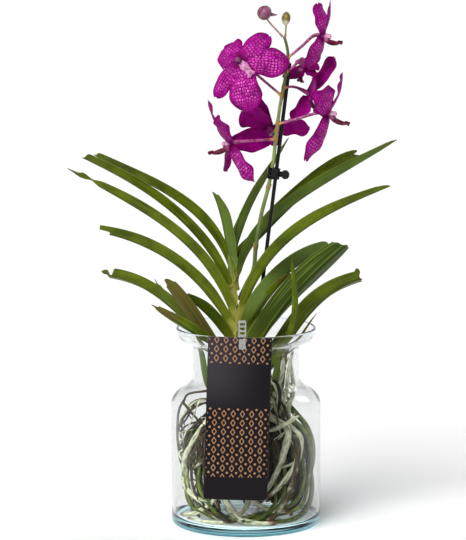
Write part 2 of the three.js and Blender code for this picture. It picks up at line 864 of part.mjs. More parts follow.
// One jaw: a half ring round the stalks, three fingers wide, and a round dished tab beyond the pin.
function makeJaw(front) {
  const sign = front ? -1 : 1;
  const { height, reach, wall, knuckle, pinReach, pinRadius, tab, spread } = CLIP;
  const plan = new THREE.Shape();
  const opening = radians(5);
  const outer = reach + wall;
  plan.absarc(0, 0, outer, opening, Math.PI - opening, false);
  plan.absarc(0, 0, reach, Math.PI - opening, opening, true);
  const ring = new THREE.ExtrudeGeometry(plan, { depth: height, bevelEnabled: false, curveSegments: 5 });
  ring.translate(0, 0, -height / 2).scale(1, sign, 1);
  let jaw = asSolid(placeOnStake(ring));
  for (const z of [-height / 6, height / 6]) {
    const slit = new THREE.BoxGeometry(outer * 1.1, outer * 2.4, 1.4).translate(-outer * 0.75, 0, z);
    jaw = jaw.subtract(asSolid(placeOnStake(slit)));
  }
  const armAngle = radians(spread) * sign;
  const armY = sign * (knuckle - wall / 2);
  const arm = new THREE.BoxGeometry(4, wall, height / 2).translate(pinReach - 1, armY, 0);
  const disc = new THREE.CylinderGeometry(tab, tab, wall, 10);
  disc.translate(tab + 0.6, armY, 0).rotateZ(armAngle).translate(pinReach, 0, 0);
  for (const piece of [arm, disc]) jaw = jaw.add(asSolid(placeOnStake(piece)));
  const barrel = (radius, length, z) => {
    const rod = new THREE.CylinderGeometry(radius, radius, length, 8).rotateX(Math.PI / 2);
    return asSolid(placeOnStake(rod.translate(pinReach, 0, z)));
  };
  const third = height / 6;
  if (front) {
    for (const z of [-third, third]) jaw = jaw.subtract(barrel(knuckle + 0.5, third + 2 * GAP, z));
    return jaw.add(barrel(knuckle, third - GAP, 0)).subtract(barrel(pinRadius + GAP, height, 0));
  }
  jaw = jaw.subtract(barrel(knuckle + 0.5, third + GAP, 0));
  for (const z of [-third, third]) jaw = jaw.add(barrel(knuckle, third, z));
  return jaw.add(barrel(pinRadius, 3 * third, 0));
}

// ---------------------------------------------------------------- assembly
const orchid = new THREE.Group();

function place(name, made, material) {
  const mesh = new THREE.Mesh(asGeometry(largest(made)), material.clone());
  mesh.name = name;
  orchid.add(mesh);
}

const stem = makeStem();
const grownStem = makeStem(GAP);
const grownSpike = makeSpike(GAP);
const grownStake = makeStake(GAP);

place("vase", makeVase(), MATERIALS.glass);
place("stem", stem, MATERIALS.stem);
place("spike", makeSpike().subtract(grownStem), MATERIALS.spike);
place("stake", makeStake(), MATERIALS.stake);
place("roots", makeRoots().subtract(grownStem).subtract(grownStake), MATERIALS.root);

const OLD_LEAVES = ["leaf_left_9", "leaf_left_10", "leaf_right_9", "leaf_right_10"];
const grownLeaves = [];
for (const leaf of LEAVES) {
  const whole = makeLeaf(leaf);
  const cutters = [grownStem, grownSpike, grownStake, ...grownLeaves];
  const cut = largest(cutters.reduce((left, cutter) => left.subtract(cutter), whole));
  place(leaf.name, cut, OLD_LEAVES.includes(leaf.name) ? MATERIALS.oldLeaf : MATERIALS.leaf);
  grownLeaves.push(makeLeaf(leaf, GAP));
}

for (const bloom of BLOOMS) {
  const column = makeColumn(bloom);
  const grownColumn = makeColumn(bloom, GAP);
  const grownLip = makeLip(bloom, GAP);
  const petals = makeBloom(bloom).subtract(grownColumn).subtract(grownLip).subtract(grownSpike);
  place(`bloom_${bloom.name}`, petals, MATERIALS.petal);
  place(`lip_${bloom.name}`, makeLip(bloom).subtract(grownColumn), MATERIALS.lip);
  place(`column_${bloom.name}`, column, MATERIALS.column);
}

for (const bud of BUDS) {
  place(bud.name, makeBud(bud).subtract(grownSpike), bud.beak ? MATERIALS.bud : MATERIALS.greenBud);
}

place("tag", makeTag(), MATERIALS.card);
place("hanger", makeHanger(), MATERIALS.hanger);
place("clip_front", makeJaw(true), MATERIALS.clip);
place("clip_back", makeJaw(false), MATERIALS.clip);

export default orchid;
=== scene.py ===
"""A vanda orchid with bare roots in a clear glass vase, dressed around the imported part.

The rows of points and sizes are millimetres in the part's own frame: origin in the middle of
the vase's underside, +Z up, the card at the front on -Y. Shape.piece() turns them into metres.
Colours of 0 to 255 are screen colours, which linear() turns into the shader's own.
"""
import random
from math import atan2, copysign, cos, exp, hypot, pi, radians, sin, sqrt, tan

import bmesh
import bpy
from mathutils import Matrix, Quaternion, Vector
from mathutils.geometry import interpolate_bezier


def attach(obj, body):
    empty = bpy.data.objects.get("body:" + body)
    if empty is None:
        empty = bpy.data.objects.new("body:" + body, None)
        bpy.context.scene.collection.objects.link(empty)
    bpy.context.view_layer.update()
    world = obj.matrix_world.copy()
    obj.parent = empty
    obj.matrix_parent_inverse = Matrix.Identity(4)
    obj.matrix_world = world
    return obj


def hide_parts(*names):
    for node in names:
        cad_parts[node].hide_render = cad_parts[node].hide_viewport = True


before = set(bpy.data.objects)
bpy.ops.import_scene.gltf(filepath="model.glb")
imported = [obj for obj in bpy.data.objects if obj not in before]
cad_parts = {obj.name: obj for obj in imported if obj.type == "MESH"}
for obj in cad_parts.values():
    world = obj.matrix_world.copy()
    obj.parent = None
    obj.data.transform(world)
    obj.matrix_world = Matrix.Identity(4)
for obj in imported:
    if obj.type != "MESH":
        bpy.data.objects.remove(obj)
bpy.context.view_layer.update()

MM = 0.001
GRAIN = 10  # millimetres to one unit of the coordinates that lie along each piece
PLANT = "plant_and_vase"
JAW = "clip_jaw"
UP = Vector((0, 0, 1))

# ---------- the part's own rows
STEM_PATH = [(-7.5, 0, 163), (-11, 0, 205), (-13, 0, 246), (-15, 0, 275), (-18, 0, 312), (-19, 1, 346)]
STEM_RADIUS = (8, 4)
SPIKE_PATH = [
    (-9, 6, 286), (0, 9, 305), (9.5, 7, 325), (12.5, 5, 355), (19.5, 2, 397), (28, 0.5, 431),
    (34, 0.5, 463), (38, 0, 499), (42, 0, 530), (48.5, 0, 566), (52.5, 0, 597), (50.5, 0, 611),
    (47.5, 0, 621),
]
SPIKE_RADIUS = (2.9, 1.8)
BARE_JOINTS = [(12.5, 5, 355), (28, 0.5, 431)]
STAKE_FOOT, STAKE_TOP, STAKE_RADIUS = Vector((0, 4, 137)), Vector((54.7, 4, 586.5)), 2.4

# Each leaf: width, tip's width as a share, roll in degrees, path of four points, tip's form,
# how far back from the tip the blade is dry, and its tone, from 1 for pale to -1 for deep green,
# which is partly the leaf's own colour and partly painted light and shade on the whole leaf.
# The feet are what is left of old leaves in the vase's neck, in the finished piece only.
LEAVES = {
    "leaf_left": [
        (27, 0.35, 16, [(-17, 0, 343), (-22, -3, 371), (-28, -5, 400), (-41, -7, 427)], "round", 0, 0.8),
        (28, 0.65, 28, [(-18, 3, 330), (-61, 14, 397), (-125, 26, 439), (-191, 36, 471)], "blunt", 0, 0),
        (25, 0.95, 28, [(-17, -1, 298), (-63, -4, 376), (-130, -6, 433), (-203, -8, 473)], "blunt", 0, 0),
        (26, 0.2, 28, [(-16, -3, 271), (-65, -24, 357), (-139, -38, 416), (-222, -50, 461)],
         "torn", 0, 0.1),
        (28, 0.8, 34, [(-19, -4, 257), (-63, -15, 319), (-118, -24, 360), (-184, -30, 383)],
         "step", 0, 0.1),
        (28, 0.75, 50, [(-14, 4, 190), (-61, 15, 246), (-115, 27, 295), (-184, 36, 319)],
         "notched", 0.03, 0),
        (28, 0.5, 44, [(-11, -4, 184), (-38, -18, 228), (-67, -28, 276), (-100, -36, 321)],
         "round", 0.62, 0),
        (28, 0.4, 28, [(-18, -2, 236), (-36, -7, 262), (-56, -10, 283), (-80, -12, 298)],
         "round", 0.02, -0.5),
        (20, 0.25, 45, [(-10, -11, 188), (-38, -36, 233), (-77, -50, 265), (-118, -58, 291)],
         "point", 0.3, 0),
        (18, 0.2, 45, [(-16, 1, 206), (-46, 0, 240), (-84, 0, 274), (-115, 0, 314)], "point", 0.06, 0),
    ],
    "leaf_right": [
        (28, 0.25, 20, [(-16, 4, 352), (-2, 13, 397), (20, 19, 440), (53, 24, 492)], "round", 0, 0.7),
        (31, 0.3, 30, [(-10, 4, 325), (34, 27, 391), (112, 45, 444), (192, 58, 487)], "droop", 0.015, 0.7),
        (36, 0.4, 52, [(-10, 12, 342), (40, 52, 391), (98, 72, 441), (147, 82, 467)], "bitten", 0.02, 0),
        (28, 0.4, 28, [(-6, -4, 273), (34, -25, 353), (99, -44, 406), (178, -58, 441)], "round", 0.01, 0),
        (38, 0.6, 50, [(-6, -6, 251), (20, -18, 297), (58, 2, 334), (108, 24, 355)], "blunt", 0, 1.1),
        (46, 0.5, 50, [(-2, -6, 205), (30, -20, 270), (77, -30, 327), (121, -38, 366)],
         "blunt", 0.01, -1.2),
        (42, 0.62, 50, [(8, 2, 178), (47, 8, 232), (86, 26, 281), (146, 36, 314)], "hooked", 0.01, 0),
        (15, 0.2, 0, [(-3, -4, 180), (50, -34, 236), (62, -47, 294), (56, -54, 348)], "point", 0.01, 0),
        (20, 0.3, 24, [(-4, -6, 240), (14, -11, 275), (34, -15, 304), (56, -18, 325)], "round", 0.25, 0.1),
        (8, 0.15, 0, [(-2, -2, 182), (45, -8, 214), (70, -12, 245), (89, -14, 272)], "point", 1, 0),
    ],
    "foot_right": [
        (15, 0.5, 20, [(4, -8, 164), (31, -22, 172), (39, -27, 204), (45, -27, 248)], "blunt", 0.1, 0),
        (13, 0.5, 20, [(6, -2, 158), (40, -6, 164), (47, -10, 200), (58, -8, 244)], "blunt", 0.3, 0),
    ],
    "foot_left": [
        (16, 0.5, 20, [(-12, -6, 160), (-46, -12, 178), (-54, -14, 212), (-66, -16, 256)], "blunt", 0.1, 0),
    ],
}
FIRST_OLD_LEAF = 9
LEAF_THICKNESS = 1.5
LEAF_KEEL = -0.38
LEAF_FOLD = (64, 44, 24)
LEAF_POINTS_ACROSS = 13
# even steps along the blade, and finer ones over the tip
LEAF_STATIONS = [i / 50 for i in range(42)] + [0.83 + 0.17 * i / 24 for i in range(25)]
SHEATH, SHEATH_STAND, SHEATH_ROWS, SHEATH_LOWEST = 26, 5, 8, 200

# Each bloom: centre, facing, its stalk's node on the spike, the lip's tip, how strongly each
# blade's face shows its net of pale cells, five blades (tip, width, turn), and for some of them
# a bend of the stalk, a darker colour that is painted shade on a bloom in shade, or a pale lip.
BLOOMS = {
    "a": dict(
        centre=(-9, -26, 593), facing=(-0.2, -0.97, 0.15), node=(44.5, 0, 547), lip=(16, -15, -17),
        net=(0.5, 0.6, 1, 1, 0.6), pale=True,
        blades=[(-20, 33, 12, 42, 0), (38, 10, 30, 27, 0), (63, 3, -5, 36, 0), (13, -8, -64, 40, 0),
                (-29, 3, -47, 21, 0)]),
    "b": dict(
        centre=(-20, -12, 488), facing=(-1, -0.12, -0.15), node=(37, 0, 492), lip=(-27, -3, -13),
        net=(0.4, 0.4, 0.7, 1, 0.4), deep=0.15,
        blades=[(-28, 0, 54, 20, 0), (-12, -38, 36, 26, 40), (49, 38, 3, 30, 0), (31, -18, -46, 24, -30),
                (-3, 26, -38, 22, 35)]),
    "c": dict(
        centre=(31, 36, 502), facing=(0.1, 0.74, 0.6), node=(38.5, 0, 503), lip=(4, 16, -8),
        net=(0.7, 0.7, 0.7, 0.8, 0.8), bend=(33, 10, 500),
        blades=[(-27, -14, 49, 21, 0), (-37, -8, 22, 40, 0), (50, -6, 1, 28, 0), (-18, 34, -25, 25, 0),
                (0, 42, -26, 24, 0)]),
    "d": dict(
        centre=(79, 26, 547), facing=(0.82, 0.15, -0.5), node=(46.5, 0, 557), lip=(14, 2, -22),
        net=(0.5, 0.7, 0.6, 0.8, 0.8), bend=(58, -1.5, 558), deep=0.1,
        blades=[(33, 2, 46, 28, 24), (9, 46, 13, 25, 0), (8, -36, 12, 28, 20), (-22, 30, -34, 26, 0),
                (-18, -20, -34, 31, -26)]),
    "e": dict(
        centre=(72, 18, 584), facing=(0.15, 0.55, -0.82), node=(49.5, 0, 575), lip=(-4, 2, -21),
        net=(0.4, 0.4, 0.4, 0.4, 0.4), bend=(58, -1.5, 582), deep=0.6,
        blades=[(21, 4, -4, 16, 0), (-25, 6, -17, 20, 0), (2, 24, 7, 22, 0), (17, -8, -13, 13, 0),
                (-13, -9, -16, 19, 0)]),
    "f": dict(
        centre=(96, -4, 622), facing=(1, -0.12, -0.1), node=(52.5, 0, 594), lip=(24, -2, -9),
        net=(0.5, 0.6, 0.7, 0.8, 0.8),
        blades=[(9, 6, 44, 18, 0), (-9, -18, 42, 20, -38), (-20, -14, -38, 27, 28), (-3, 42, 20, 24, 0),
                (-6, 36, -28, 24, 0)]),
    "g": dict(
        centre=(103, -16, 526), facing=(1, -0.15, -0.1), node=(40, 0, 511), lip=(26, -2, -14),
        net=(0.5, 0.6, 0.7, 0.8, 0.8),
        blades=[(18, 4, 50, 20, 0), (-12, -28, 32, 38, -32), (-29, -12, -59, 27, 28), (-6, 44, 20, 24, 0),
                (-10, 36, -36, 24, 0)]),
}
BLADE_START = 2.4
BLADE_LIFTS = (0, 1.5, 0, 1.5, 0.7)
PEDICEL_RADIUS = (1.6, 1.95, 3.3)

# Roots: radius, path
ROOT_PATHS = [
    (4.2, [(0, -6, 155), (30, -24, 141), (52, -40, 128), (47, -46, 98), (36, -50, 70), (22, -52, 46)]),
    (3.8, [(2, -4, 150), (40, -20, 138), (60, -34, 126), (68, -38, 116), (63, -46, 86), (46, -52, 62),
           (26, -54, 42)]),
    (2.4, [(10, -20, 132), (30, -44, 128), (53, -50, 139), (68, -48, 149)]),
    (3.4, [(0, 0, 165), (22, -8, 170), (36, -14, 186), (50, -18, 204)]),
    (2.8, [(6, 0, 150), (36, -4, 138), (53, -6, 146), (59, -6, 168), (59, -4, 188), (56, -4, 212)]),
    (3.5, [(4, 4, 158), (44, 6, 152), (72, 0, 132), (83, -6, 110), (85, -8, 82), (78, -16, 62),
           (56, -30, 36)]),
    (3.1, [(2, 8, 148), (46, 10, 134), (76, -14, 112), (80, -24, 84), (66, -36, 52), (48, -44, 32)]),
    (3.5, [(6, 6, 140), (60, 20, 112), (82, 18, 70), (84, 2, 34), (68, -32, 15), (42, -62, 14),
           (14, -60, 14)]),
    (4.6, [(-6, -8, 142), (-16, -24, 92), (-28, -40, 46), (-8, -62, 18), (16, -76, 14.5), (38, -76, 14.5)]),
    (3.6, [(-2, -10, 140), (0, -36, 76), (9, -54, 40), (28, -60, 29), (54, -58, 26)]),
    (3.1, [(-4, 0, 138), (10, -30, 62), (-3, -52, 26), (-25, -64, 13.5), (-47, -62, 13), (-74, -38, 13)]),
    (3.1, [(-10, 0, 150), (-44, -8, 126), (-68, -14, 92), (-79, -20, 66), (-75, -36, 52), (-64, -46, 42),
           (-40, -52, 34)]),
    (3.5, [(-8, -8, 144), (-30, -36, 86), (-40, -52, 40), (-62, -46, 22), (-82, -24, 14)]),
    (3.6, [(-10, -2, 156), (-36, -14, 146), (-53, -24, 130), (-66, -28, 112), (-77, -30, 88),
           (-79, -26, 64)]),
    (3.2, [(-8, -6, 148), (-30, -22, 112), (-51, -36, 90), (-68, -40, 76)]),
    (1.7, [(-10, 0, 166), (-30, -6, 175), (-51, -10, 173), (-75, -14, 166), (-80, -15, 153)]),
    (1.6, [(-78, -15, 160), (-84, -13, 150), (-87, -10, 121), (-85, -8, 93), (-78, -18, 78)]),
    (1.5, [(-80, -15, 156), (-70, -18, 146), (-56, -22, 132)]),
]
FRONT_ROOTS = (0, 1, 2, 8, 9)
GREEN_ROOTS = (5, 6, 7)
THIN_ROOTS = (15, 16, 17)
WOODY_ROOTS = {11: 0.3, 12: 0.25, 13: 0.35, 14: 0.6, 15: 1.0, 16: 1.0, 17: 1.0}
ROOT_FLOOR = 9.3
CROWN = (-6, 0, 152)
CROWN_WIDE, CROWN_TALL = 13, 21
# roots that swing round the glass by a rule, as in the solids
SWEEP = dict(count=9, radius=3.3, reach=83, start=-28, step=24, turn=70)
# All that follows is in the finished piece only. Roots that rise in the neck:
NECK_ROOTS = [
    (2.6, [(4, -6, 158), (32, -18, 168), (44, -24, 190), (47, -28, 222)]),
    (2.9, [(0, 4, 160), (30, 2, 178), (38, -4, 198), (40, -10, 226)]),
    (2.4, [(8, -8, 148), (42, -20, 146), (50, -24, 168), (52, -26, 196), (58, -22, 226)]),
    (2.2, [(8, -6, 150), (52, -20, 152), (60, -20, 172), (50, -26, 186)]),
]
# thin old roots that cross each other near the glass on the left
TWIGS = dict(count=16, radii=(0.8, 1.8), reach=86, start=150, spread=85, wobble=7, top=(112, 172))
TWIG_AGES = (0.1, 0.8, 1.0, 1.3)
# bundles along the glass: green arcs on the right (side 1), woody ones on the left (side -1)
# an age of 1.7 makes some of these roots near black, as painted shade between the arcs
BUNDLES = [
    dict(side=1, count=13, radii=(1.7, 2.9), reach=(83, 40), greens=(0.6, 1.1), ages=(0, 1.7, 0.3),
         old=0, foot=-0.1),
    dict(side=-1, count=12, radii=(1.5, 2.6), reach=(80, 42), greens=(0.45, 1.0), ages=(0.2, 1.7, 0.3, 0.9),
         old=0.9, foot=0.3),
]
# short roots that arch over beside the card, below the neck
TUFT = dict(count=16, radii=(1.2, 2.8), reach=(40, 60), crest=(158, 192), start=-62, spread=66, wobble=5,
            greens=(0, 0.5), ages=(0, 1.7, 0.5, 0), old=0)
# old roots that fill the middle, near black partly with age and partly as painted shade
MAT = dict(count=60, radii=(1.8, 3.8), reach=(24, 62), low=26, start=-80, spread=150, wobble=8)


# ---------- small sums
def mix(a, b, t):
    return a + (b - a) * t


def clamp(x):
    return min(max(x, 0.0), 1.0)


def smooth(low, high, x):
    t = clamp((x - low) / (high - low))
    return t * t * (3 - 2 * t)


def bell(x, middle, width):
    """1 at the middle, and next to nothing two widths away from it."""
    return exp(-(((x - middle) / width) ** 2))


def through(values, knee, t):
    """From the first of three values to the second at the knee, and on to the third at 1."""
    first, second, third = values
    return mix(first, second, t / knee) if t < knee else mix(second, third, (t - knee) / (1 - knee))


def shares(steps):
    """Even steps from 0 to 1."""
    return [k / steps for k in range(steps + 1)]


def across(count):
    """The places of so many points in an even row from -1 to 1."""
    return [2 * j / (count - 1) - 1 for j in range(count)]


def around(count):
    """Even angles round a circle."""
    return [2 * pi * s / count for s in range(count)]


def polar(reach, angle, z):
    return (reach * cos(angle), reach * sin(angle), z)


def path_length(points):
    return sum((Vector(a) - Vector(b)).length for a, b in zip(points, points[1:]))


def turned(vector, axis, degrees):
    return Quaternion(axis, radians(degrees)) @ vector


# ---------- materials
def linear(*screen):
    """A screen colour of 0 to 255 as the linear colour that a shader wants."""
    shares = [c / 255 for c in screen]
    return (*[c / 12.92 if c <= 0.04045 else ((c + 0.055) / 1.055) ** 2.4 for c in shares], 1)


class Wire:
    """An output of a node. Each thing done to it adds the node that does this."""

    def __init__(self, nodes, socket):
        self.nodes, self.socket = nodes, socket

    def math(self, operation, *others):
        return self.nodes.add("ShaderNodeMath", dict(enumerate((self, *others))), operation=operation)

    def __add__(self, other):
        return self.math("ADD", other)

    def __sub__(self, other):
        return self.math("SUBTRACT", other)

    def __mul__(self, other):
        return self.math("MULTIPLY", other)

    def ramp(self, low, high, start=0.0, end=1.0):
        """An eased way from start, where this is low, to end, where it is high."""
        ends = {"Value": self, "From Min": low, "From Max": high, "To Min": start, "To Max": end}
        return self.nodes.add("ShaderNodeMapRange", ends, interpolation_type="SMOOTHSTEP")

    def axis(self, number):
        return self.nodes.add("ShaderNodeSeparateXYZ", {0: self}, number)

    def scaled(self, *scale, shift=(0, 0, 0)):
        return self.nodes.add("ShaderNodeMapping", {"Vector": self, "Scale": scale, "Location": shift})

    def noise(self, scale, detail=3.0, rough=0.55):
        sizes = {"Vector": self, "Scale": scale, "Detail": detail, "Roughness": rough}
        return self.nodes.add("ShaderNodeTexNoise", sizes)

    def cells(self, scale, randomness=1.0, feature="F1", dims="2D"):
        sizes = {"Vector": self, "Scale": scale, "Randomness": randomness}
        return self.nodes.add("ShaderNodeTexVoronoi", sizes, feature=feature, voronoi_dimensions=dims)


class Nodes:
    """A node tree and a short way to add to it."""

    def __init__(self, tree):
        self.tree = tree

    def add(self, kind, inputs, output=0, **settings):
        """One output of a new node. A wire among its inputs is linked, and any other value is set."""
        made = self.tree.nodes.new(kind)
        for key, value in settings.items():
            setattr(made, key, value)
        for key, value in inputs.items():
            self.feed(made.inputs[key], value)
        return Wire(self, made.outputs[output])

    def feed(self, socket, value):
        if isinstance(value, Wire):
            self.tree.links.new(value.socket, socket)
        else:
            socket.default_value = value

    def place(self, kind="Object"):
        return self.add("ShaderNodeTexCoord", {}, kind)


class Paint(Nodes):
    """A Principled material in the making."""

    def __init__(self, name, **values):
        self.material = bpy.data.materials.new(name)
        self.material.use_nodes = True
        super().__init__(self.material.node_tree)
        self.bsdf = self.tree.nodes["Principled BSDF"]
        for key, value in values.items():
            self.set(key, value)

    def set(self, key, value):
        self.feed(self.bsdf.inputs[key.replace("_", " ")], value)

    def grain(self):
        """Coordinates that lie across and along the piece."""
        return self.add("ShaderNodeUVMap", {}, uv_map="grain")

    def value(self, name):
        """A value that the piece's own points hold."""
        return self.add("ShaderNodeAttribute", {}, "Fac", attribute_name=name)

    def blend(self, fac, a, b):
        return self.add("ShaderNodeMix", {"Factor": fac, 6: a, 7: b}, 2, data_type="RGBA")

    def tones(self, fac, dark, light):
        return self.blend(fac, linear(*dark), linear(*light))

    def coats(self, colour, *coats):
        """The colour with screen colours laid over it in turn, each as strongly as its wire says."""
        for fac, screen in coats:
            colour = self.blend(fac, colour, linear(*screen))
        return colour

    def done(self, colour, rough=None, relief=None, strength=0.0, depth=0.0):
        """Sets colour, roughness and bumps, and returns the material."""
        self.set("Base Color", colour)
        if rough:
            self.set("Roughness", rough)
        if relief:
            bumps = {"Height": relief, "Strength": strength, "Distance": depth}
            self.set("Normal", self.add("ShaderNodeBump", bumps))
        return self.material


def petal_paint():
    p = Paint("petal", Specular_IOR_Level=0.05, Subsurface_Weight=0.1, Subsurface_Scale=0.003,
              Subsurface_Radius=(1.0, 0.1, 0.7))
    uv, along, edge = p.grain(), p.value("along"), p.value("edge")
    # a net of pale cells, pushed about by slow noise, on the face of each petal
    elsewhere = uv.scaled(1, 1, 1, shift=(5, 3, 0))
    push = p.add("ShaderNodeCombineXYZ", {0: uv.noise(1.6), 1: elsewhere.noise(1.3)})
    warped = p.add("ShaderNodeVectorMath", {0: uv, 1: push.scaled(0.3, 0.3, 0)}, operation="ADD")
    border = warped.scaled(3.1, 2.4, 1).cells(1.0, 0.62, "DISTANCE_TO_EDGE")
    face = p.value("face").ramp(0.4, 0.6)
    net = border.ramp(0.08, 0.34) * uv.noise(1.1).ramp(0.3, 0.62) * edge.ramp(0.98, 0.55)
    net = net * along.ramp(0.1, 0.3) * along.ramp(1.02, 0.7) * p.value("net") * face
    veins = uv.scaled(5.5, 0.35, 1).noise(1.6, 4, 0.6)
    front = p.tones(veins.ramp(0.3, 0.72), (96, 0, 80), (176, 0, 146))
    # painted light: the backs are a lighter magenta than the fronts, to brighten backs that turn away from
    # the lamps
    back = p.tones(veins.ramp(0.3, 0.75), (118, 0, 96), (200, 0, 166))
    colour = p.coats(
        p.blend(face, back, front),
        (net * 0.9, (242, 108, 208)),
        (uv.noise(0.7).ramp(0.42, 0.66) * 0.4, (90, 0, 66)),
        # deep paints shade over the whole of a bloom that sits in shade
        (p.value("deep"), (84, 0, 50)),
        # painted shade: each blade is darker towards its foot, in the crowded middle of the flower
        (along.ramp(0.26, 0.04) * 0.75, (84, 0, 50)),
        (edge.ramp(0.84, 1.0) * 0.45, (92, 0, 76)),
    )
    return p.done(colour, veins * 0.2 + 0.42, veins * 0.6 + border * 0.9, 0.7, 0.0012)


def plain_paint(name, light, dark, rough=0.45, scale=300, bump=0.2, depth=0.0003, coats=lambda p: (),
                **values):
    """Two tones of one colour in a soft noise, for the small pieces of the flowers."""
    p = Paint(name, **values)
    tone = p.place().noise(scale, 4).ramp(0.34, 0.68)
    fine = p.place().noise(scale * 9)
    colour = p.coats(p.tones(tone, dark, light), *coats(p))
    return p.done(colour, fine * 0.25 + (rough - 0.12), fine, bump, depth)


def lip_coats(p):
    pale = p.value("pale") * p.place().noise(120, 2).ramp(0.3, 0.5)
    return (p.value("along").ramp(0.3, 0.1) * 0.55, (206, 110, 172)), (pale, (222, 150, 200))


def column_coats(p):
    spots = p.place().cells(700, 1, dims="3D").ramp(0.28, 0.16)
    return ((spots * 0.5, (190, 60, 150)), (p.value("along").ramp(0.35, 0.0), (170, 50, 130)),
            (p.value("shade") * 0.9, (96, 4, 66)))


def pedicel_paint():
    p = Paint("flower_stalk", Roughness=0.42, Subsurface_Weight=0.08, Subsurface_Scale=0.002)
    along, ribs = p.value("along"), p.place().noise(260)
    colour = p.coats(
        p.tones(ribs.ramp(0.3, 0.7), (104, 26, 76), (190, 92, 150)),
        (along.ramp(0.16, 0.06), (206, 146, 84)),
        (along.ramp(0.82, 1.0), (156, 26, 130)),
    )
    return p.done(colour, relief=ribs, strength=0.25, depth=0.0005)


def leaf_paint():
    p = Paint("leaf_blade", Specular_IOR_Level=0.12, Subsurface_Weight=0.06, Subsurface_Scale=0.003,
              Subsurface_Radius=(0.5, 1.0, 0.15))
    uv, along, edge, tone = p.grain(), p.value("along"), p.value("edge"), p.value("tone")
    veins = uv.scaled(7.0, 0.09, 1).noise(1.5, 4, 0.6)
    blotch = uv.noise(0.35)
    fine = uv.scaled(9.0, 1.2, 1).noise(4.0)
    bands = uv.scaled(2.2, 0.05, 1).noise(1.2, 2).ramp(0.5, 0.58) * tone.ramp(-0.3, -0.9)
    # only the feet of the lower leaves are yellow
    low = p.place().axis(2).ramp(0.345, 0.285)
    yellow = (along + (blotch - 0.5) * 0.12).ramp(0.3, 0.0) * low
    pale = along.ramp(0.05, 0.0) * low * veins.ramp(0.36, 0.52)
    specks = uv.cells(1.7).ramp(0.16, 0.06) * uv.noise(0.5, 2).ramp(0.5, 0.66)
    green = p.coats(
        p.tones(blotch.ramp(0.3, 0.72), (50, 66, 0), (98, 116, 2)),
        (veins.ramp(0.42, 0.66) * 0.6, (128, 142, 30)),
        # tone paints the whole leaf paler or deeper green: partly its own colour, partly painted light and
        # shade
        (tone.ramp(0.0, 1.0) * 0.7, (104, 132, 66)),
        (tone.ramp(0.0, -0.8) * 0.9, (24, 44, 6)),
        (bands * 0.6, (112, 136, 56)),
        (veins.ramp(0.47, 0.26) * 0.75, (20, 34, 0)),
        # painted shade: the middle of the blade is darker along its folded keel
        (edge.ramp(0.18, 0.0) * 0.75, (22, 38, 0)),
        # painted shade: the back face, which faces down, is darker
        (p.value("face").ramp(0.6, 0.4) * 0.35, (62, 78, 10)),
        # a painted highlight along the leaf's edges
        (edge.ramp(0.93, 1.0) * 0.5, (132, 140, 56)),
        (yellow * 0.32, (150, 156, 40)),
        (pale * 0.7, (196, 190, 96)),
        (specks * 0.75, (92, 66, 30)),
    )
    straw = p.tones(fine.ramp(0.3, 0.7), (74, 70, 22), (112, 106, 46))
    straw = p.blend(veins.ramp(0.25, 0.55), linear(64, 54, 22), straw)
    dead = (p.value("dry") + (blotch - 0.5) * 0.5).ramp(0.42, 0.62)
    rough = dead * 0.3 + (fine * 0.16 + 0.32)
    return p.done(p.blend(dead, green, straw), rough, veins + fine * 0.3, 0.5, 0.0007)


def stem_paint(name, light, dark, speck, ring, coats):
    """Green skin with dark flecks, for the stem and the flower stalk, and coats that go by height."""
    p = Paint(name)
    uv = p.grain()
    lines = uv.scaled(6, 0.25, 1).noise(1.6, 4)
    tone = uv.noise(0.6)
    spots = uv.cells(2.4).ramp(0.24, 0.1) * uv.noise(1.1, 2).ramp(0.48, 0.62)
    colour = p.coats(
        p.tones(lines.ramp(0.3, 0.7), dark, light),
        (tone.ramp(0.45, 0.7) * 0.5, dark),
        (spots * 0.8, speck),
        (p.value("ring"), ring),
        *coats(p.place().axis(2)),
    )
    return p.done(colour, lines * 0.3 + 0.34, lines + tone * 0.5, 0.4, 0.0006)


def stem_coats(height):
    return [(height.ramp(0.295, 0.325) * height.ramp(0.36, 0.35) * 0.85, (92, 110, 30))]


def stalk_coats(height):
    return (height.ramp(0.54, 0.59) * 0.75, (70, 66, 28)), (height.ramp(0.44, 0.37) * 0.75, (70, 92, 28))


def root_paint():
    """Spongy grey skin with green showing through, woody old roots and red-brown growing tips."""
    p = Paint("root_skin", Specular_IOR_Level=0.2)
    age, where = p.value("age"), p.place()
    mottle = where.noise(55, 5, 0.62)
    streak = p.grain().scaled(2.2, 0.5, 1).noise(2.0, 5, 0.65)
    silver = p.tones(streak.ramp(0.25, 0.72), (96, 96, 64), (238, 236, 204))
    lush = p.tones(streak.ramp(0.3, 0.7), (20, 28, 2), (120, 134, 52))
    wood = p.tones(streak.ramp(0.3, 0.7), (12, 9, 5), (88, 72, 46))
    greening = (p.value("green") + (mottle - 0.5) * 1.6).ramp(0.3, 0.7)
    ageing = (age + (mottle - 0.5)).ramp(0.42, 0.62)
    colour = p.coats(
        p.blend(ageing, p.blend(greening, silver, lush), wood),
        (where.noise(210).ramp(0.6, 0.72) * 0.4, (70, 66, 46)),
        (p.value("along").ramp(0.93, 0.985), (112, 60, 40)),
        # roots aged past 1.2 turn near black: partly old dead roots, partly painted shade in the gaps
        # between roots
        (age.ramp(1.2, 1.6), (20, 18, 10)),
    )
    return p.done(colour, mottle * 0.35 + 0.48, streak + mottle * 0.8, 0.7, 0.0011)


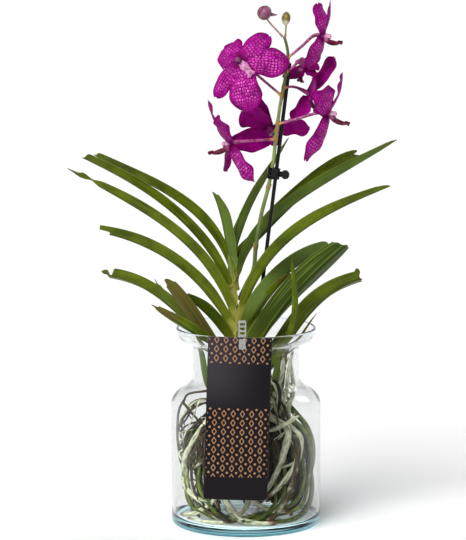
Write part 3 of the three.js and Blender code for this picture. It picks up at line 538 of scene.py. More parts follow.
def bud_paint(name, light, dark, base, scale, reach):
    """A veined bud in two tones; the base's colour ends where reach says, as a share of its length."""
    p = Paint(name, Roughness=0.42, Subsurface_Weight=0.1, Subsurface_Scale=0.003)
    net = p.place().cells(scale, 0.9, "DISTANCE_TO_EDGE", "3D")
    tone = p.place().noise(120)
    colour = p.coats(
        p.tones(tone.ramp(0.35, 0.65), dark, light),
        (net.ramp(0.09, 0.02) * 0.5, dark),
        (p.value("along").ramp(reach, reach - 0.25), base),
        (p.value("ring") * 0.75, (88, 50, 56)),
    )
    return p.done(colour, relief=net + tone, strength=0.3, depth=0.0007)


def black_paint(name, rough, scratch, shine, coat):
    p = Paint(name, Specular_IOR_Level=shine, Coat_Weight=coat, Coat_Roughness=0.05)
    marks = p.place().scaled(400, 400, 14).noise(1.0, 4)
    colour = p.tones(marks.ramp(0.55, 0.75), (2, 2, 3), (9, 11, 13))
    return p.done(colour, marks * scratch + (rough - 0.08), p.place().noise(700) + marks, 0.12, 0.0002)


def card_paint():
    """Matt black card with two bands of small copper lozenges and dots in a plain grid."""
    p = Paint("printed_card", Specular_IOR_Level=0.08)
    uv = p.grain()
    x, z = uv.axis(0), uv.axis(1)
    pitch = 1.15
    right, down = [(way.math("DIVIDE", pitch).math("FRACT") - 0.5).math("ABSOLUTE") for way in (x, z)]
    lozenge = right * 1.5 + down
    ring = lozenge.ramp(0.43, 0.41) * lozenge.ramp(0.27, 0.29)
    corner_x, corner_z = right - 0.5, down - 0.5
    dot = (corner_x * corner_x + corner_z * corner_z).math("SQRT").ramp(0.13, 0.11)
    lower_band = z.math("GREATER_THAN", 2.9) * z.math("LESS_THAN", 11.6)
    bands = z.math("GREATER_THAN", 17.2).math("MAXIMUM", lower_band)
    ink = ring.math("MAXIMUM", dot) * bands * x.math("ABSOLUTE").math("LESS_THAN", 3.8)
    fibre = uv.scaled(30, 30, 1).noise(1.0, 5, 0.7)
    # a painted sheen makes the plain part a little paler towards its upper left
    sheen = (x + uv.noise(0.2, 1)).ramp(4.2, -3.0) * z.ramp(10, 16)
    black = p.tones(fibre.ramp(0.3, 0.75), (17, 14, 17), (30, 26, 30))
    black = p.coats(black, (sheen * 0.8, (58, 53, 60)))
    copper = p.tones(fibre.ramp(0.3, 0.7), (166, 122, 84), (206, 160, 118))
    white_edge = p.value("edge").ramp(0.994, 0.999)
    p.set("Metallic", ink * 0.65)
    colour = p.coats(p.blend(ink, black, copper), (white_edge * 0.5, (120, 116, 112)))
    return p.done(colour, ink * -0.12 + 0.5, fibre * 0.5 + ink, 0.25, 0.00012)


def glass_paint():
    """Clear pressed glass that turns blue-green low down, where it is thick."""
    p = Paint("clear_glass", Roughness=0.0, IOR=1.46, Transmission_Weight=1.0,
              Specular_Tint=(0.12, 0.12, 0.12, 1))
    where = p.place()
    x, y, height = [where.axis(number) for number in range(3)]
    low = height.ramp(0.011, 0.002) * (x * x + y * y).math("SQRT").ramp(0.084, 0.092)
    haze = where.noise(26, 5, 0.7).ramp(0.35, 0.7)
    tint = p.blend(haze, (0.92, 0.925, 0.92, 1), (0.86, 0.875, 0.87, 1))
    tint = p.blend(height.ramp(0.247, 0.2525) * 0.4, tint, (0.8, 0.93, 0.95, 1))
    ends = p.tree.nodes["Material Output"].inputs
    depth = {"Color": (0.3, 0.8, 0.88, 1), "Density": 5.0}
    p.feed(ends["Volume"], p.add("ShaderNodeVolumeAbsorption", depth))
    # clear glass throws hardly any shadow on the roots inside
    clear = p.add("ShaderNodeBsdfTransparent", {"Color": (0.9, 0.94, 0.94, 1)})
    lit = p.add("ShaderNodeLightPath", {}, "Is Shadow Ray")
    p.feed(ends["Surface"], p.add("ShaderNodeMixShader", {0: lit, 1: Wire(p, p.bsdf.outputs[0]), 2: clear}))
    wave = where.scaled(9, 9, 5).noise(1.0, 2)
    return p.done(p.coats(tint, (low * 0.85, (88, 184, 202))), relief=wave, strength=0.06, depth=0.002)


def clear_plastic_paint():
    p = Paint("clear_plastic", IOR=1.45, Transmission_Weight=0.82)
    haze = p.place().noise(160, 4)
    return p.done(p.blend(haze, (0.9, 0.93, 0.95, 1), (0.98, 0.99, 1.0, 1)), haze * 0.2 + 0.06)


# ---------- meshes
def link(made):
    bpy.context.scene.collection.objects.link(made)
    return made


def apply_modifier(made, modifier):
    bpy.context.view_layer.objects.active = made
    bpy.ops.object.modifier_apply(modifier=modifier.name)


def stand_in(made, body, node, sharp_angle):
    """Shades a new piece, hangs it on the body that it rides on, and hides the CAD node that it stands for.
    """
    made.data.shade_smooth()
    made.data.set_sharp_from_angle(angle=radians(sharp_angle))
    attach(made, body)
    if node:
        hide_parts(node)


class Shape:
    """Points, faces, per-point values and grain of a piece in the making."""

    def __init__(self, *keys):
        self.points, self.faces, self.grain, self.mats = [], [], [], []
        self.values = {key: [] for key in keys}

    def add(self, point, grain=(0, 0), **values):
        self.points.append(point)
        self.grain.append(grain)
        for key, numbers in self.values.items():
            numbers.append(values.get(key, 0.0))
        return len(self.points) - 1

    def face(self, corners, material=0):
        """A face on these points, each taken once."""
        self.faces.append(tuple(dict.fromkeys(corners)))
        self.mats.append(material)

    def skin(self, rings, material=0, ends=True):
        """Joins each ring of points to the next one, and closes the two ends."""
        for a, b in zip(rings, rings[1:]):
            for s in range(len(a)):
                n = (s + 1) % len(a)
                self.face((a[s], a[n], b[n], b[s]), material)
        if ends:
            self.face(reversed(rings[0]), material)
            self.face(rings[-1], material)

    def tube(self, centres, radii, sides, material=0, squash=lambda i, angle: 1, values=lambda i: {}):
        """A round skin along the centres; squash(i, angle) scales the radius there."""
        rings, travelled = [], 0.0
        for i, (first, second) in enumerate(along_frames(centres)):
            travelled += (centres[i] - centres[max(i - 1, 0)]).length
            ring = []
            for s, angle in enumerate(around(sides)):
                r = radii[i] * squash(i, angle)
                point = centres[i] + first * r * cos(angle) + second * r * sin(angle)
                wrap = abs(s / sides - 0.5) * 2 * pi * radii[i]
                ring.append(self.add(point, (wrap / GRAIN, travelled / GRAIN), **values(i)))
            rings.append(ring)
        self.skin(rings, material)

    def blade(self, rows, thickness, grain, values=lambda i, j: {}, material=0):
        """A thin closed sheet over a grid of points; thickness(i, j) is its thickness there."""
        tall, wide = len(rows), len(rows[0])

        def at(i, j):
            return rows[min(max(i, 0), tall - 1)][min(max(j, 0), wide - 1)]

        front, back = [], []
        for i in range(tall):
            for j in range(wide):
                normal = (at(i, j + 1) - at(i, j - 1)).cross(at(i + 1, j) - at(i - 1, j)).normalized()
                half = normal * thickness(i, j) / 2
                front.append(self.add(rows[i][j] + half, grain(i, j), face=1.0, **values(i, j)))
                back.append(self.add(rows[i][j] - half, grain(i, j), face=0.0, **values(i, j)))
        for i in range(tall - 1):
            for j in range(wide - 1):
                a, b = i * wide + j, (i + 1) * wide + j
                self.face((front[a], front[b], front[b + 1], front[a + 1]), material)
                self.face((back[a], back[a + 1], back[b + 1], back[b]), material)
        border = list(range(wide)) + [i * wide + wide - 1 for i in range(1, tall)]
        border += [(tall - 1) * wide + j for j in range(wide - 2, -1, -1)]
        border += [i * wide for i in range(tall - 2, 0, -1)]
        for a, b in zip(border, border[1:] + border[:1]):
            self.face((front[a], front[b], back[b], back[a]), material)

    def piece(self, name, materials, node=None, sharp_angle=60):
        """The finished piece of the plant, in metres."""
        mesh = bpy.data.meshes.new(name)
        mesh.from_pydata([tuple(c * MM for c in point) for point in self.points], [], self.faces)
        for key, numbers in self.values.items():
            mesh.attributes.new(key, "FLOAT", "POINT").data.foreach_set("value", numbers)
        flat = [c for loop in mesh.loops for c in self.grain[loop.vertex_index]]
        mesh.uv_layers.new(name="grain").data.foreach_set("uv", flat)
        for material in materials:
            mesh.materials.append(material)
        mesh.polygons.foreach_set("material_index", self.mats)
        mesh.validate()
        normals = bmesh.new()
        normals.from_mesh(mesh)
        bmesh.ops.recalc_face_normals(normals, faces=normals.faces)
        normals.to_mesh(mesh)
        normals.free()
        made = link(bpy.data.objects.new(name, mesh))
        stand_in(made, PLANT, node, sharp_angle)
        return made


def along_frames(centres):
    """Two directions square to the path at each point, carried along it without twisting."""
    frames, last = [], None
    for i in range(len(centres)):
        way = (centres[min(i + 1, len(centres) - 1)] - centres[max(i - 1, 0)]).normalized()
        if last is None:
            helper = Vector((0, 1, 0)) if abs(way.y) < 0.9 else Vector((1, 0, 0))
            last = way.cross(helper).normalized()
        else:
            last = (last - way * last.dot(way)).normalized()
        frames.append((last, way.cross(last).normalized()))
    return frames


def smooth_path(points, steps):
    """Points at even steps along a centripetal Catmull-Rom curve, the curve that the solids follow."""
    p = [Vector(q) for q in points]
    dense = []
    for i in range(len(p) - 1):
        p0 = p[i - 1] if i else p[0] * 2 - p[1]
        p3 = p[i + 2] if i + 2 < len(p) else p[-1] * 2 - p[-2]
        ends = ((p0, p[i]), (p[i], p[i + 1]), (p[i + 1], p3))
        d = [max((a - b).length_squared ** 0.25, 1e-4) for a, b in ends]
        t1 = ((p[i] - p0) / d[0] - (p[i + 1] - p0) / (d[0] + d[1]) + (p[i + 1] - p[i]) / d[1]) * d[1]
        t2 = ((p[i + 1] - p[i]) / d[1] - (p3 - p[i]) / (d[1] + d[2]) + (p3 - p[i + 1]) / d[2]) * d[1]
        for k in range(40):
            t = k / 40
            dense.append((2 * t**3 - 3 * t**2 + 1) * p[i] + (t**3 - 2 * t**2 + t) * t1
                         + (-2 * t**3 + 3 * t**2) * p[i + 1] + (t**3 - t**2) * t2)
    dense.append(p[-1])
    lengths = [0.0]
    for a, b in zip(dense, dense[1:]):
        lengths.append(lengths[-1] + (b - a).length)
    out, k = [], 0
    for i in range(steps + 1):
        want = lengths[-1] * i / steps
        while k < len(lengths) - 2 and lengths[k + 1] < want:
            k += 1
        span = max(lengths[k + 1] - lengths[k], 1e-9)
        out.append(dense[k].lerp(dense[k + 1], clamp((want - lengths[k]) / span)))
    return out


def cubic_through(points, steps):
    """Points and directions, at these steps, of the cubic that passes its four points at thirds."""
    p = [Vector(q) for q in points]
    c1 = (-5 * p[0] + 18 * p[1] - 9 * p[2] + 2 * p[3]) / 6
    c2 = (2 * p[0] - 9 * p[1] + 18 * p[2] - 5 * p[3]) / 6
    out = []
    for t in steps:
        u = 1 - t
        point = u**3 * p[0] + 3 * u * u * t * c1 + 3 * u * t * t * c2 + t**3 * p[3]
        tangent = 3 * u * u * (c1 - p[0]) + 6 * u * t * (c2 - c1) + 3 * t * t * (p[3] - c2)
        out.append((point, tangent.normalized()))
    return out


# ---------- leaves
def leaf_spread(t, end, form, high):
    """Half the width at t as a share; high runs from -1 at the back edge to 1 at the raised front edge."""
    base = mix(0.72, 1, min(t / 0.2, 1))
    tip = 1 if t < 0.6 else mix(1, end, ((t - 0.6) / 0.4) ** 1.7)
    if form == "torn":
        # the last seventh hangs on by a thin twisted strand
        tip *= 1 - 0.8 * bell(t, 0.88, 0.025) + 0.5 * bell(t, 0.94, 0.03)
    if form == "notched":
        tip *= 1 - 0.55 * smooth(0.955, 0.975, t) - 0.4 * smooth(0.99, 1.0, t)
        if high > 0:
            tip *= 1 - 0.92 * smooth(0.935, 0.94, t) * (1 - smooth(0.955, 0.975, t))
    if form == "hooked" and high > 0:
        tip *= 1 + 0.3 * smooth(0.98, 0.99, t)
    return base * tip


# how far the tip's edge falls back in each form, as a share of the leaf's width
LEAF_TIPS = {
    "round": lambda high: 0.55 * high * high,
    "point": lambda high: 0.9 * abs(high) ** 1.3,
    "torn": lambda high: 0.9 * abs(high) ** 1.3,
    "droop": lambda high: 0.35 * abs(high) - 0.1 * (high < -0.6),
    "bitten": lambda high: 0.22 * (1 - high * high) * (0.7 + 0.5 * sin(7 * high)) + 0.12 * (high > 0.3),
    "blunt": lambda high: 0.12 * high * high + 0.14 * high + 0.03 * sin(6 * high),
    "step": lambda high: 1.15 * (1 - smooth(0.2, 0.34, high)) + 0.2 * (high < -0.5),
    "notched": lambda high: 0.04 * sin(7 * high),
    "hooked": lambda high: 0.04 * sin(7 * high),
}


def keel_rise(s):
    """The blade's rise over its keel, which is round: 0 in the middle and 1 at the edges."""
    soft = 0.02
    return (sqrt(s * s + soft) - sqrt(soft)) / (sqrt(1 + soft) - sqrt(soft))


def blade_frame(level, along):
    up = level.cross(along).normalized()
    return up, along.cross(up).normalized()


def stem_at(z):
    """The middle of the stem at a height."""
    for low, high in zip(STEM_PATH, STEM_PATH[1:]):
        if z <= high[2]:
            break
    return Vector(low).lerp(Vector(high), clamp((z - low[2]) / (high[2] - low[2])))


def sheath_rows(path, width, level, places):
    """The leaf's foot below its first point: a narrow fold that clasps the stem."""
    base, out = Vector(path[0]), Vector(path[1]) - Vector(path[0])
    if base.z < SHEATH_LOWEST:
        return []
    foot = stem_at(base.z - SHEATH) + Vector((copysign(SHEATH_STAND, out.x), 0, 0))
    knee = base - out.normalized() * SHEATH * 0.5
    rows = []
    for k in range(SHEATH_ROWS):
        u = k / SHEATH_ROWS
        along = ((knee - foot) * (1 - u) + (base - knee) * u).normalized()
        up, side = blade_frame(level, along)
        half = width / 2 * mix(0.66, 0.74, u)
        fold = radians(mix(50, LEAF_FOLD[0], u))
        centre = foot.lerp(knee, u).lerp(knee.lerp(base, u), u) + up * LEAF_KEEL * half
        rows.append([centre + side * (s * half * cos(fold)) + up * (keel_rise(s) * half * sin(fold))
                     for s in places])
    return rows


def make_leaf(index, name, width, end, roll, path, form, dry, tone, slot, material):
    draw = random.Random(100 + index)
    phase, ripple = draw.uniform(0, 6), draw.uniform(0.5, 1.1)
    reach = Vector(path[3]) - Vector(path[0])
    reach.z = 0
    level = reach.normalized().cross(UP)
    places = across(LEAF_POINTS_ACROSS)
    rows = sheath_rows(path, width, level, places)
    feet = len(rows)
    for t, (centre, along) in zip(LEAF_STATIONS, cubic_through(path, LEAF_STATIONS)):
        up, side = blade_frame(level, along)
        half = width / 2 * leaf_spread(t, end, form, 0)
        centre = centre + up * LEAF_KEEL * half
        front = 1 if side.y < 0 else -1
        lean = -front * roll * min(t / 0.3, 1)
        up, side = turned(up, along, lean), turned(side, along, lean)
        fold = radians(through(LEAF_FOLD, 0.5, t))
        row = []
        for s in places:
            # the edges ripple a little and roll outwards
            half = width / 2 * leaf_spread(t, end, form, s * front)
            wave = 0.35 * ripple * sin(11 * t + phase + 2 * (s > 0)) * s * s * smooth(0.1, 0.4, t)
            curl = -0.06 * half * abs(s) ** 4
            back = LEAF_TIPS[form](s * front) * width * 0.8 * smooth(0.93, 1.0, t)
            row.append(centre + side * (s * half * cos(fold))
                       + up * (keel_rise(s) * half * sin(fold) + wave + curl) - along * back)
        rows.append(row)
    stations = [0.0] * feet + LEAF_STATIONS
    length = path_length(path)

    def values(i, j):
        t = stations[i]
        dried = smooth(1.0 - 1.6 * dry, 1.0 - 0.2 * dry, t) if 0 < dry < 0.9 else float(dry > 0)
        return {"along": t, "edge": abs(places[j]), "dry": dried, "tone": tone * (1 - 0.3 * t)}

    def grain(i, j):
        below = max(feet - i, 0) * 0.25
        return (places[j] * width / 2 / GRAIN + 13.7 * index, stations[i] * length / GRAIN - below)

    def thickness(i, j):
        thinned = mix(1.0, 0.32, abs(places[j]) ** 3)
        return LEAF_THICKNESS * thinned * mix(1, 0.6, smooth(0.9, 1, stations[i]))

    shape = Shape("along", "edge", "face", "dry", "tone")
    shape.blade(rows, thickness, grain, values)
    shape.piece("strap_" + name, [material], name if name.startswith("leaf") else None)


# ---------- blooms
def petal_spread(t):
    if t < 0.6:
        return mix(0.38, 1, sin(pi / 2 * (t / 0.6)) ** 0.9)
    return max(sqrt(max(1 - ((t - 0.6) / 0.4) ** 2.4, 0)), 0.16)


def add_petal(shape, bloom, centre, facing, i, draw):
    x, y, z, width, turn = bloom["blades"][i]
    tip = Vector((x, y, z))
    length, along = tip.length, tip.normalized()
    normal = (facing - along * facing.dot(along)).normalized()
    normal = turned(normal, along, turn)
    side = along.cross(normal)
    phase, crisp = draw.uniform(0, 6), draw.uniform(0.6, 1.1)
    lean = draw.uniform(-1, 1)
    stations, places = [mix(BLADE_START / length, 1, t) for t in shares(33)], across(15)
    rows = []
    for t in stations:
        half = width / 2 * petal_spread(t)
        arch = 0.09 * length * sin(pi * t)
        wave = 0.09 * width * sin(4 * pi * t + 1.7 * i) * t
        row = []
        for s in places:
            crimp = crisp * 0.75 * sin(17 * t + phase + 1.9 * (s > 0)) * abs(s) ** 3 * smooth(0.15, 0.5, t)
            crimp += 0.04 * width * sin(7 * t + phase * 2) * s * s * smooth(0.2, 0.6, t)
            groove = -0.55 * bell(s, 0, 0.1) * smooth(0.02, 0.2, t) * (1 - smooth(0.7, 1, t))
            roll = -0.22 * (abs(s) ** 1.35) * half - 0.04 * half * abs(s) ** 5
            notch = 0.03 * length * bell(s, 0.15 * lean, 0.3) * smooth(0.93, 1, t)
            scallop = 0.012 * length * sin(6 * s + phase) * smooth(0.9, 1, t)
            edge = 1 + 0.05 * sin(13 * t + phase) * abs(s)
            row.append(centre + along * (length * t - notch + scallop) + side * (s * half * edge)
                       + normal * (BLADE_LIFTS[i] + arch + roll + s * wave + crimp + groove))
        rows.append(row)

    def values(k, j):
        return {"along": stations[k], "edge": abs(places[j]), "net": bloom["net"][i],
                "deep": bloom.get("deep", 0)}

    def grain(k, j):
        spread = mix(0.45, 1, smooth(0, 0.5, stations[k]))
        # each petal has its own part of the pattern
        right = places[j] * width / 2 / GRAIN * spread
        return (right + 7.3 * i + 1.1, stations[k] * length / GRAIN + 3.1 * i)

    def thickness(k, j):
        return mix(1.0, 0.34, abs(places[j]) ** 2.5) * mix(1, 0.5, smooth(0.85, 1, stations[k]))

    shape.blade(rows, thickness, grain, values)


def make_petals(key, bloom, centre, facing, materials):
    """Five petals and sepals, grown together with the stalk that carries them."""
    draw = random.Random(40 + ord(key))
    shape = Shape("along", "edge", "face", "net", "deep")
    for i in range(len(bloom["blades"])):
        add_petal(shape, bloom, centre, facing, i, draw)
    node, back = Vector(bloom["node"]), centre - facing * 10
    bend = Vector(bloom["bend"]) if "bend" in bloom else node.lerp(back, 0.5)
    steps = 40
    twist = draw.uniform(0.08, 0.14)
    radii = [through(PEDICEL_RADIUS, 0.7, t) + 0.7 * bell(t, 0, 0.05) for t in shares(steps)]
    shape.tube(smooth_path([node, bend, back, centre + facing], steps), radii, 12, 1,
               lambda k, a: 1 + 0.09 * cos(3 * a + twist * k), lambda k: {"along": k / steps})
    shape.piece("petals_" + key, materials, "bloom_" + key)


def make_column(key, bloom, centre, facing, drop, material):
    """A short waxy post with a cap and a hollow below it."""
    steps = 15
    centres, radii = [], []
    for t in shares(steps):
        centres.append(centre + facing * mix(1.6, 11, t))
        end = sqrt(max(1 - smooth(0.86, 1, t) * 0.9, 0.1))
        radii.append((mix(3.8, 2.5, t) + 0.5 * bell(t, 0.82, 0.13)) * end)
    first, second = along_frames(centres)[0]
    low = atan2(drop.dot(second), drop.dot(first))

    def hollow(k, a):
        dip = bell(k / steps, 0.62, 0.14)
        return 1 - 0.45 * dip * max(0.0, cos(a - low)) ** 3 + 0.05 * cos(2 * (a - low))

    shape = Shape("along", "shade")
    shape.tube(centres, radii, 14, 0, hollow,
               lambda k: {"along": k / steps, "shade": float("pale" in bloom)})
    shape.piece("post_" + key, [material], "column_" + key)


def make_lip(key, bloom, centre, facing, drop, material):
    """A thick tongue with three keels, a forked end and two small ears at its foot."""
    tip = Vector(bloom["lip"])
    along = tip.normalized()
    side = along.cross(facing).normalized()
    up = side.cross(along).normalized()
    start, end = centre + drop * 4.6 + facing * 2, centre + tip
    reach = (end - start).length
    halves = (3.6, 5.6, 4.2, 3.6, 5.4)
    steps, places = shares(25), across(13)
    rows = []
    for t in steps:
        place = t * (len(halves) - 1)
        i = min(int(place), len(halves) - 2)
        half = mix(halves[i], halves[i + 1], smooth(0, 1, place - i))
        row = []
        for s in places:
            keels = 0.7 * (bell(s, 0, 0.13) + 0.7 * bell(abs(s), 0.42, 0.12))
            keels *= smooth(0.05, 0.3, t) * (1 - smooth(0.75, 1, t))
            fork = 0.16 * reach * bell(s, 0, 0.3) * smooth(0.8, 1, t)
            ears = 2.4 * abs(s) ** 3 * bell(t, 0.16, 0.13)
            narrow = 1 - 0.3 * (ears > 1) * abs(s)
            row.append(start.lerp(end, t) - along * fork + side * (s * half * narrow)
                       + up * (1.6 * abs(s) ** 1.5 - 2.5 * sin(pi * t) + keels + ears))
        rows.append(row)

    def flesh(k, j):
        t = steps[k]
        middle = mix(2.4, 6.4, sin(pi * min(t * 1.15, 1)) ** 0.8) + 2.6 * smooth(0.86, 0.97, t)
        return mix(middle, 1.2, places[j] ** 2)

    shape = Shape("along", "pale")
    shape.blade(rows, flesh, lambda k, j: (j / GRAIN, k / GRAIN),
                lambda k, j: {"along": steps[k], "pale": 0.85 * ("pale" in bloom)})
    shape.piece("tongue_" + key, [material], "lip_" + key)


def make_bloom(key, bloom, petal, pedicel, column, lip):
    centre, facing = Vector(bloom["centre"]), Vector(bloom["facing"]).normalized()
    tip = Vector(bloom["lip"])
    drop = (tip - facing * tip.dot(facing)).normalized()
    make_petals(key, bloom, centre, facing, [petal, pedicel])
    make_column(key, bloom, centre, facing, drop, column)
    make_lip(key, bloom, centre, facing, drop, lip)


# ---------- buds
def make_bud(name, node, centre, size, lean, foot, fork, materials, beak=None):
    """Three sepals that close over the bud, on a thin stalk, with a beak if it has one."""
    centre, lean = Vector(centre), Vector(lean).normalized()
    half, radius = size
    shape = Shape("along", "ring")
    first, second = along_frames([centre, centre + lean])[0]
    rings = []
    for k, t in enumerate(shares(29)):
        slope = pi * mix(0.03, 0.97, t)
        ring = []
        for s, a in enumerate(around(30)):
            # the seam between two sepals turns slightly
            seam = cos(3 * (a + 0.5 * t))
            crease = bell(1 + seam, 0, 0.16) * sin(slope)
            r = radius * sin(slope) * (1 + 0.035 * seam - 0.07 * crease)
            r *= 1 - 0.1 * smooth(0.55, 1, t)
            point = centre - lean * half * cos(slope) + (first * cos(a) + second * sin(a)) * r
            ring.append(shape.add(point, (s / 5, k / 5), along=t, ring=crease))
        rings.append(ring)
    shape.skin(rings)
    steps = 24
    radii = [1.15 + 0.5 * bell(k, 0, 3) for k in range(steps + 1)]
    path = smooth_path([fork, foot, centre], steps)
    shape.tube(path, radii, 12, 1, values=lambda k: {"along": k / steps})
    if beak:
        steps = 20
        bend = centre.lerp(Vector(beak), 0.6) + Vector((0, 0, -0.6))
        radii = [mix(6, 0.5, t ** 0.7) for t in shares(steps)]
        shape.tube(smooth_path([centre, bend, beak], steps), radii, 14,
                   values=lambda k: {"along": 0.75, "ring": 0.2})
    shape.piece(name, materials, node)


# ---------- stalks
def make_stem(material):
    """The stem, wrapped in the overlapping feet of the leaves, left and right by turns."""
    steps = 110
    path = smooth_path(STEM_PATH, steps)
    shape = Shape("ring")
    foot_height, right_start, left_start = 13.5, 170, 163.2

    def heights(k):
        """How far up its own leaf's foot the skin is, on the right and on the left."""
        return [((path[k].z - start) / foot_height) % 1 for start in (right_start, left_start)]

    def sheath(k, a):
        right, (fold, other) = 0.5 + 0.5 * cos(a), heights(k)
        return 1 + 0.1 * (right * (1 - fold) + (1 - right) * (1 - other)) - 0.12 * abs(sin(a)) ** 2

    shape.tube(path, [mix(*STEM_RADIUS, t) for t in shares(steps)], 28, 0, sheath,
               lambda k: {"ring": 0.65 * (1 - smooth(0.0, 0.12, min(heights(k))))})
    shape.piece("leafy_stem", [material], "stem")


def make_spike(materials):
    """The flower stalk with a swollen joint and a small papery scale where each flower leaves it."""
    steps = 260
    path = smooth_path(SPIKE_PATH, steps)
    joints = [(Vector(bloom["node"]), Vector(bloom["centre"])) for bloom in BLOOMS.values()]
    joints += [(Vector(joint), None) for joint in BARE_JOINTS]
    at = [min(range(steps + 1), key=lambda k: (path[k] - joint).length) for joint, _ in joints]
    shape = Shape("ring")

    def swell(k):
        return max(bell(k, a, 2.6) for a in at)

    radii = [mix(*SPIKE_RADIUS, k / steps) + 0.75 * swell(k) for k in range(steps + 1)]
    radii[-1] *= 0.5
    shape.tube(path, radii, 16, 0, lambda k, a: 1 + 0.03 * cos(5 * a + 0.02 * k),
               lambda k: {"ring": 0.4 * swell(k)})
    for (joint, bloom_centre), a in zip(joints, at):
        way = (path[min(a + 4, steps)] - path[max(a - 4, 0)]).normalized()
        off = joint - path[a]
        out = off if off.length > 0.1 else Vector((-1, 0, 0))
        if bloom_centre:
            out = bloom_centre - joint
        out = (out - way * out.dot(way)).normalized()
        side, radius = way.cross(out), radii[a]
        rows = []
        for t in shares(8):
            half = 1.2 * radius * cos(t * 1.45)
            foot = path[a] - way * (2.4 - 6.2 * t)
            rows.append([foot + out * (radius * (0.72 + 0.5 * t) - 0.4 * s * s * radius) + side * s * half
                         for s in (-1, -0.5, 0, 0.5, 1)])
        shape.blade(rows, lambda k, j: 0.45, lambda k, j: (j / 5, k / 5), lambda k, j: {"ring": 1.0}, 1)
    shape.piece("flower_stalk", materials, "spike")


def make_stake(material):
    """A straight rod with a round top."""
    steps = 60
    way = (STAKE_TOP - STAKE_FOOT).normalized()
    path = [STAKE_FOOT.lerp(STAKE_TOP, t) for t in shares(steps)]
    # the last ring of the straight part lies just below the round top
    path[steps] = STAKE_TOP - way * ((STAKE_TOP - STAKE_FOOT).length / steps * 0.02)
    radii = [STAKE_RADIUS] * (steps + 1)
    for t in (0.25, 0.5, 0.75, 0.92, 1.0):
        path.append(STAKE_TOP + way * (t * 1.2))
        radii.append(STAKE_RADIUS * sqrt(1 - t * t * 0.96))
    shape = Shape()
    shape.tube(path, radii, 28)
    shape.piece("black_rod", [material], "stake", sharp_angle=50)


# ---------- roots
def sweeping_roots():
    """Roots that swing round the glass one way and the other by turns."""
    out = []
    for i in range(SWEEP["count"]):
        angle = radians(SWEEP["start"] + SWEEP["step"] * i)
        swing = radians(SWEEP["turn"]) * (1 if i % 2 else -0.6)
        radius = SWEEP["radius"] * (1 - 0.08 * (i % 3))
        reach = SWEEP["reach"] - 7 * (i % 3)
        stops = ((0, 0.45 * reach, 146 - 5 * (i % 3)), (0.1, 0.9 * reach, 116 - 9 * (i % 2)),
                 (0.35, reach, 76), (0.7, reach, 36), (1, reach - 9, ROOT_FLOOR + radius))
        out.append((radius, [CROWN] + [polar(far, angle + swing * share, z) for share, far, z in stops]))
    return out


def bundle_paths(kind, draw):
    """Roots side by side that leave the crown, turn down at the glass and end near the card."""
    foot = kind["foot"]
    stops = ((0.55, 8, 142), (0.92, 22, 120), (1, 32, 90), (0.97, 40, 60), (0.84, 52, 34),
             (mix(foot, 0.84, 0.5), 62, 20), (foot, 70, 15))
    inside, lowest = 84, 14.5
    out = []
    for i in range(kind["count"]):
        share = i / (kind["count"] - 1)
        reach = mix(*kind["reach"], share)
        path = [CROWN]
        for far, deep, z in stops:
            x = kind["side"] * reach * far + draw.uniform(-3, 3)
            y = -deep * mix(0.8, 1.05, share) + draw.uniform(-3, 3) + (-5, 6, 0)[i % 3]
            z += draw.uniform(-5, 5) - 10 * share * (z > 100)
            held = min(1, inside / hypot(x, y))
            path.append((x * held, y * held, max(z, lowest)))
        out.append((draw.uniform(*kind["radii"]), path))
    return out


def fan_angle(kind, i, draw):
    """The direction, seen from above, in which root i of a fan of roots leaves."""
    wobble = kind["wobble"]
    return radians(kind["start"] + kind["spread"] * i / kind["count"] + draw.uniform(-wobble, wobble))


def tuft_paths(draw):
    out = []
    for i in range(TUFT["count"]):
        angle = fan_angle(TUFT, i, draw)
        reach, crest = draw.uniform(*TUFT["reach"]), draw.uniform(*TUFT["crest"])
        path = [CROWN]
        for share, z in ((0.5, mix(152, crest, 0.6)), (0.8, crest), (1, crest - 14), (1.04, crest - 40)):
            angle += radians(draw.uniform(-6, 6))
            path.append(polar(reach * share, angle, z))
        out.append((draw.uniform(*TUFT["radii"]), path))
    return out


def woody_twigs(draw):
    out = []
    for i in range(TWIGS["count"]):
        angle = fan_angle(TWIGS, i, draw)
        path = []
        z = draw.uniform(*TWIGS["top"])
        for share in (0.35, 0.7, 0.9, 1.0, draw.uniform(0.86, 0.98)):
            path.append(polar(TWIGS["reach"] * share, angle, z))
            z -= draw.uniform(4, 26) if share > 0.6 else draw.uniform(-10, 6)
            angle += radians(draw.uniform(-9, 9))
        out.append((draw.uniform(*TWIGS["radii"]), path))
    return out


def add_side_roots(shape, path, radius, age, green, count, draw):
    """Short roots that leave the path inwards; those that would meet the glass are left out."""
    steps, points = len(path) - 1, 10
    for _ in range(count):
        k = int(draw.uniform(0.3, 0.92) * steps)
        way = (path[min(k + 1, steps)] - path[k - 1]).normalized()
        out = turned(along_frames([path[k - 1], path[k]])[0][0], way, draw.uniform(0, 360))
        reach = draw.uniform(9, 24)
        inward = Vector((-path[k].x, -path[k].y, 0)).normalized()
        out = (out + inward * draw.uniform(0.2, 0.9) + way * 0.6).normalized()
        end = path[k] + out * reach
        if hypot(end.x, end.y) > (88 if end.z < 150 else 60) or end.z < 14:
            continue
        twig = smooth_path([path[k], path[k] + out * reach * 0.5 + way * 3, end + way * 6], points)
        thick = min(radius * 0.5, draw.uniform(0.7, 1.6))
        radii = [thick * (1 - 0.4 * j / points) * (1 if j < points else 0.4) for j in range(points + 1)]
        shape.tube(twig, radii, 7, values=lambda j: {
            "along": 0.5 + 0.48 * (j / points) ** 3, "age": min(1, age + 0.15), "green": green})


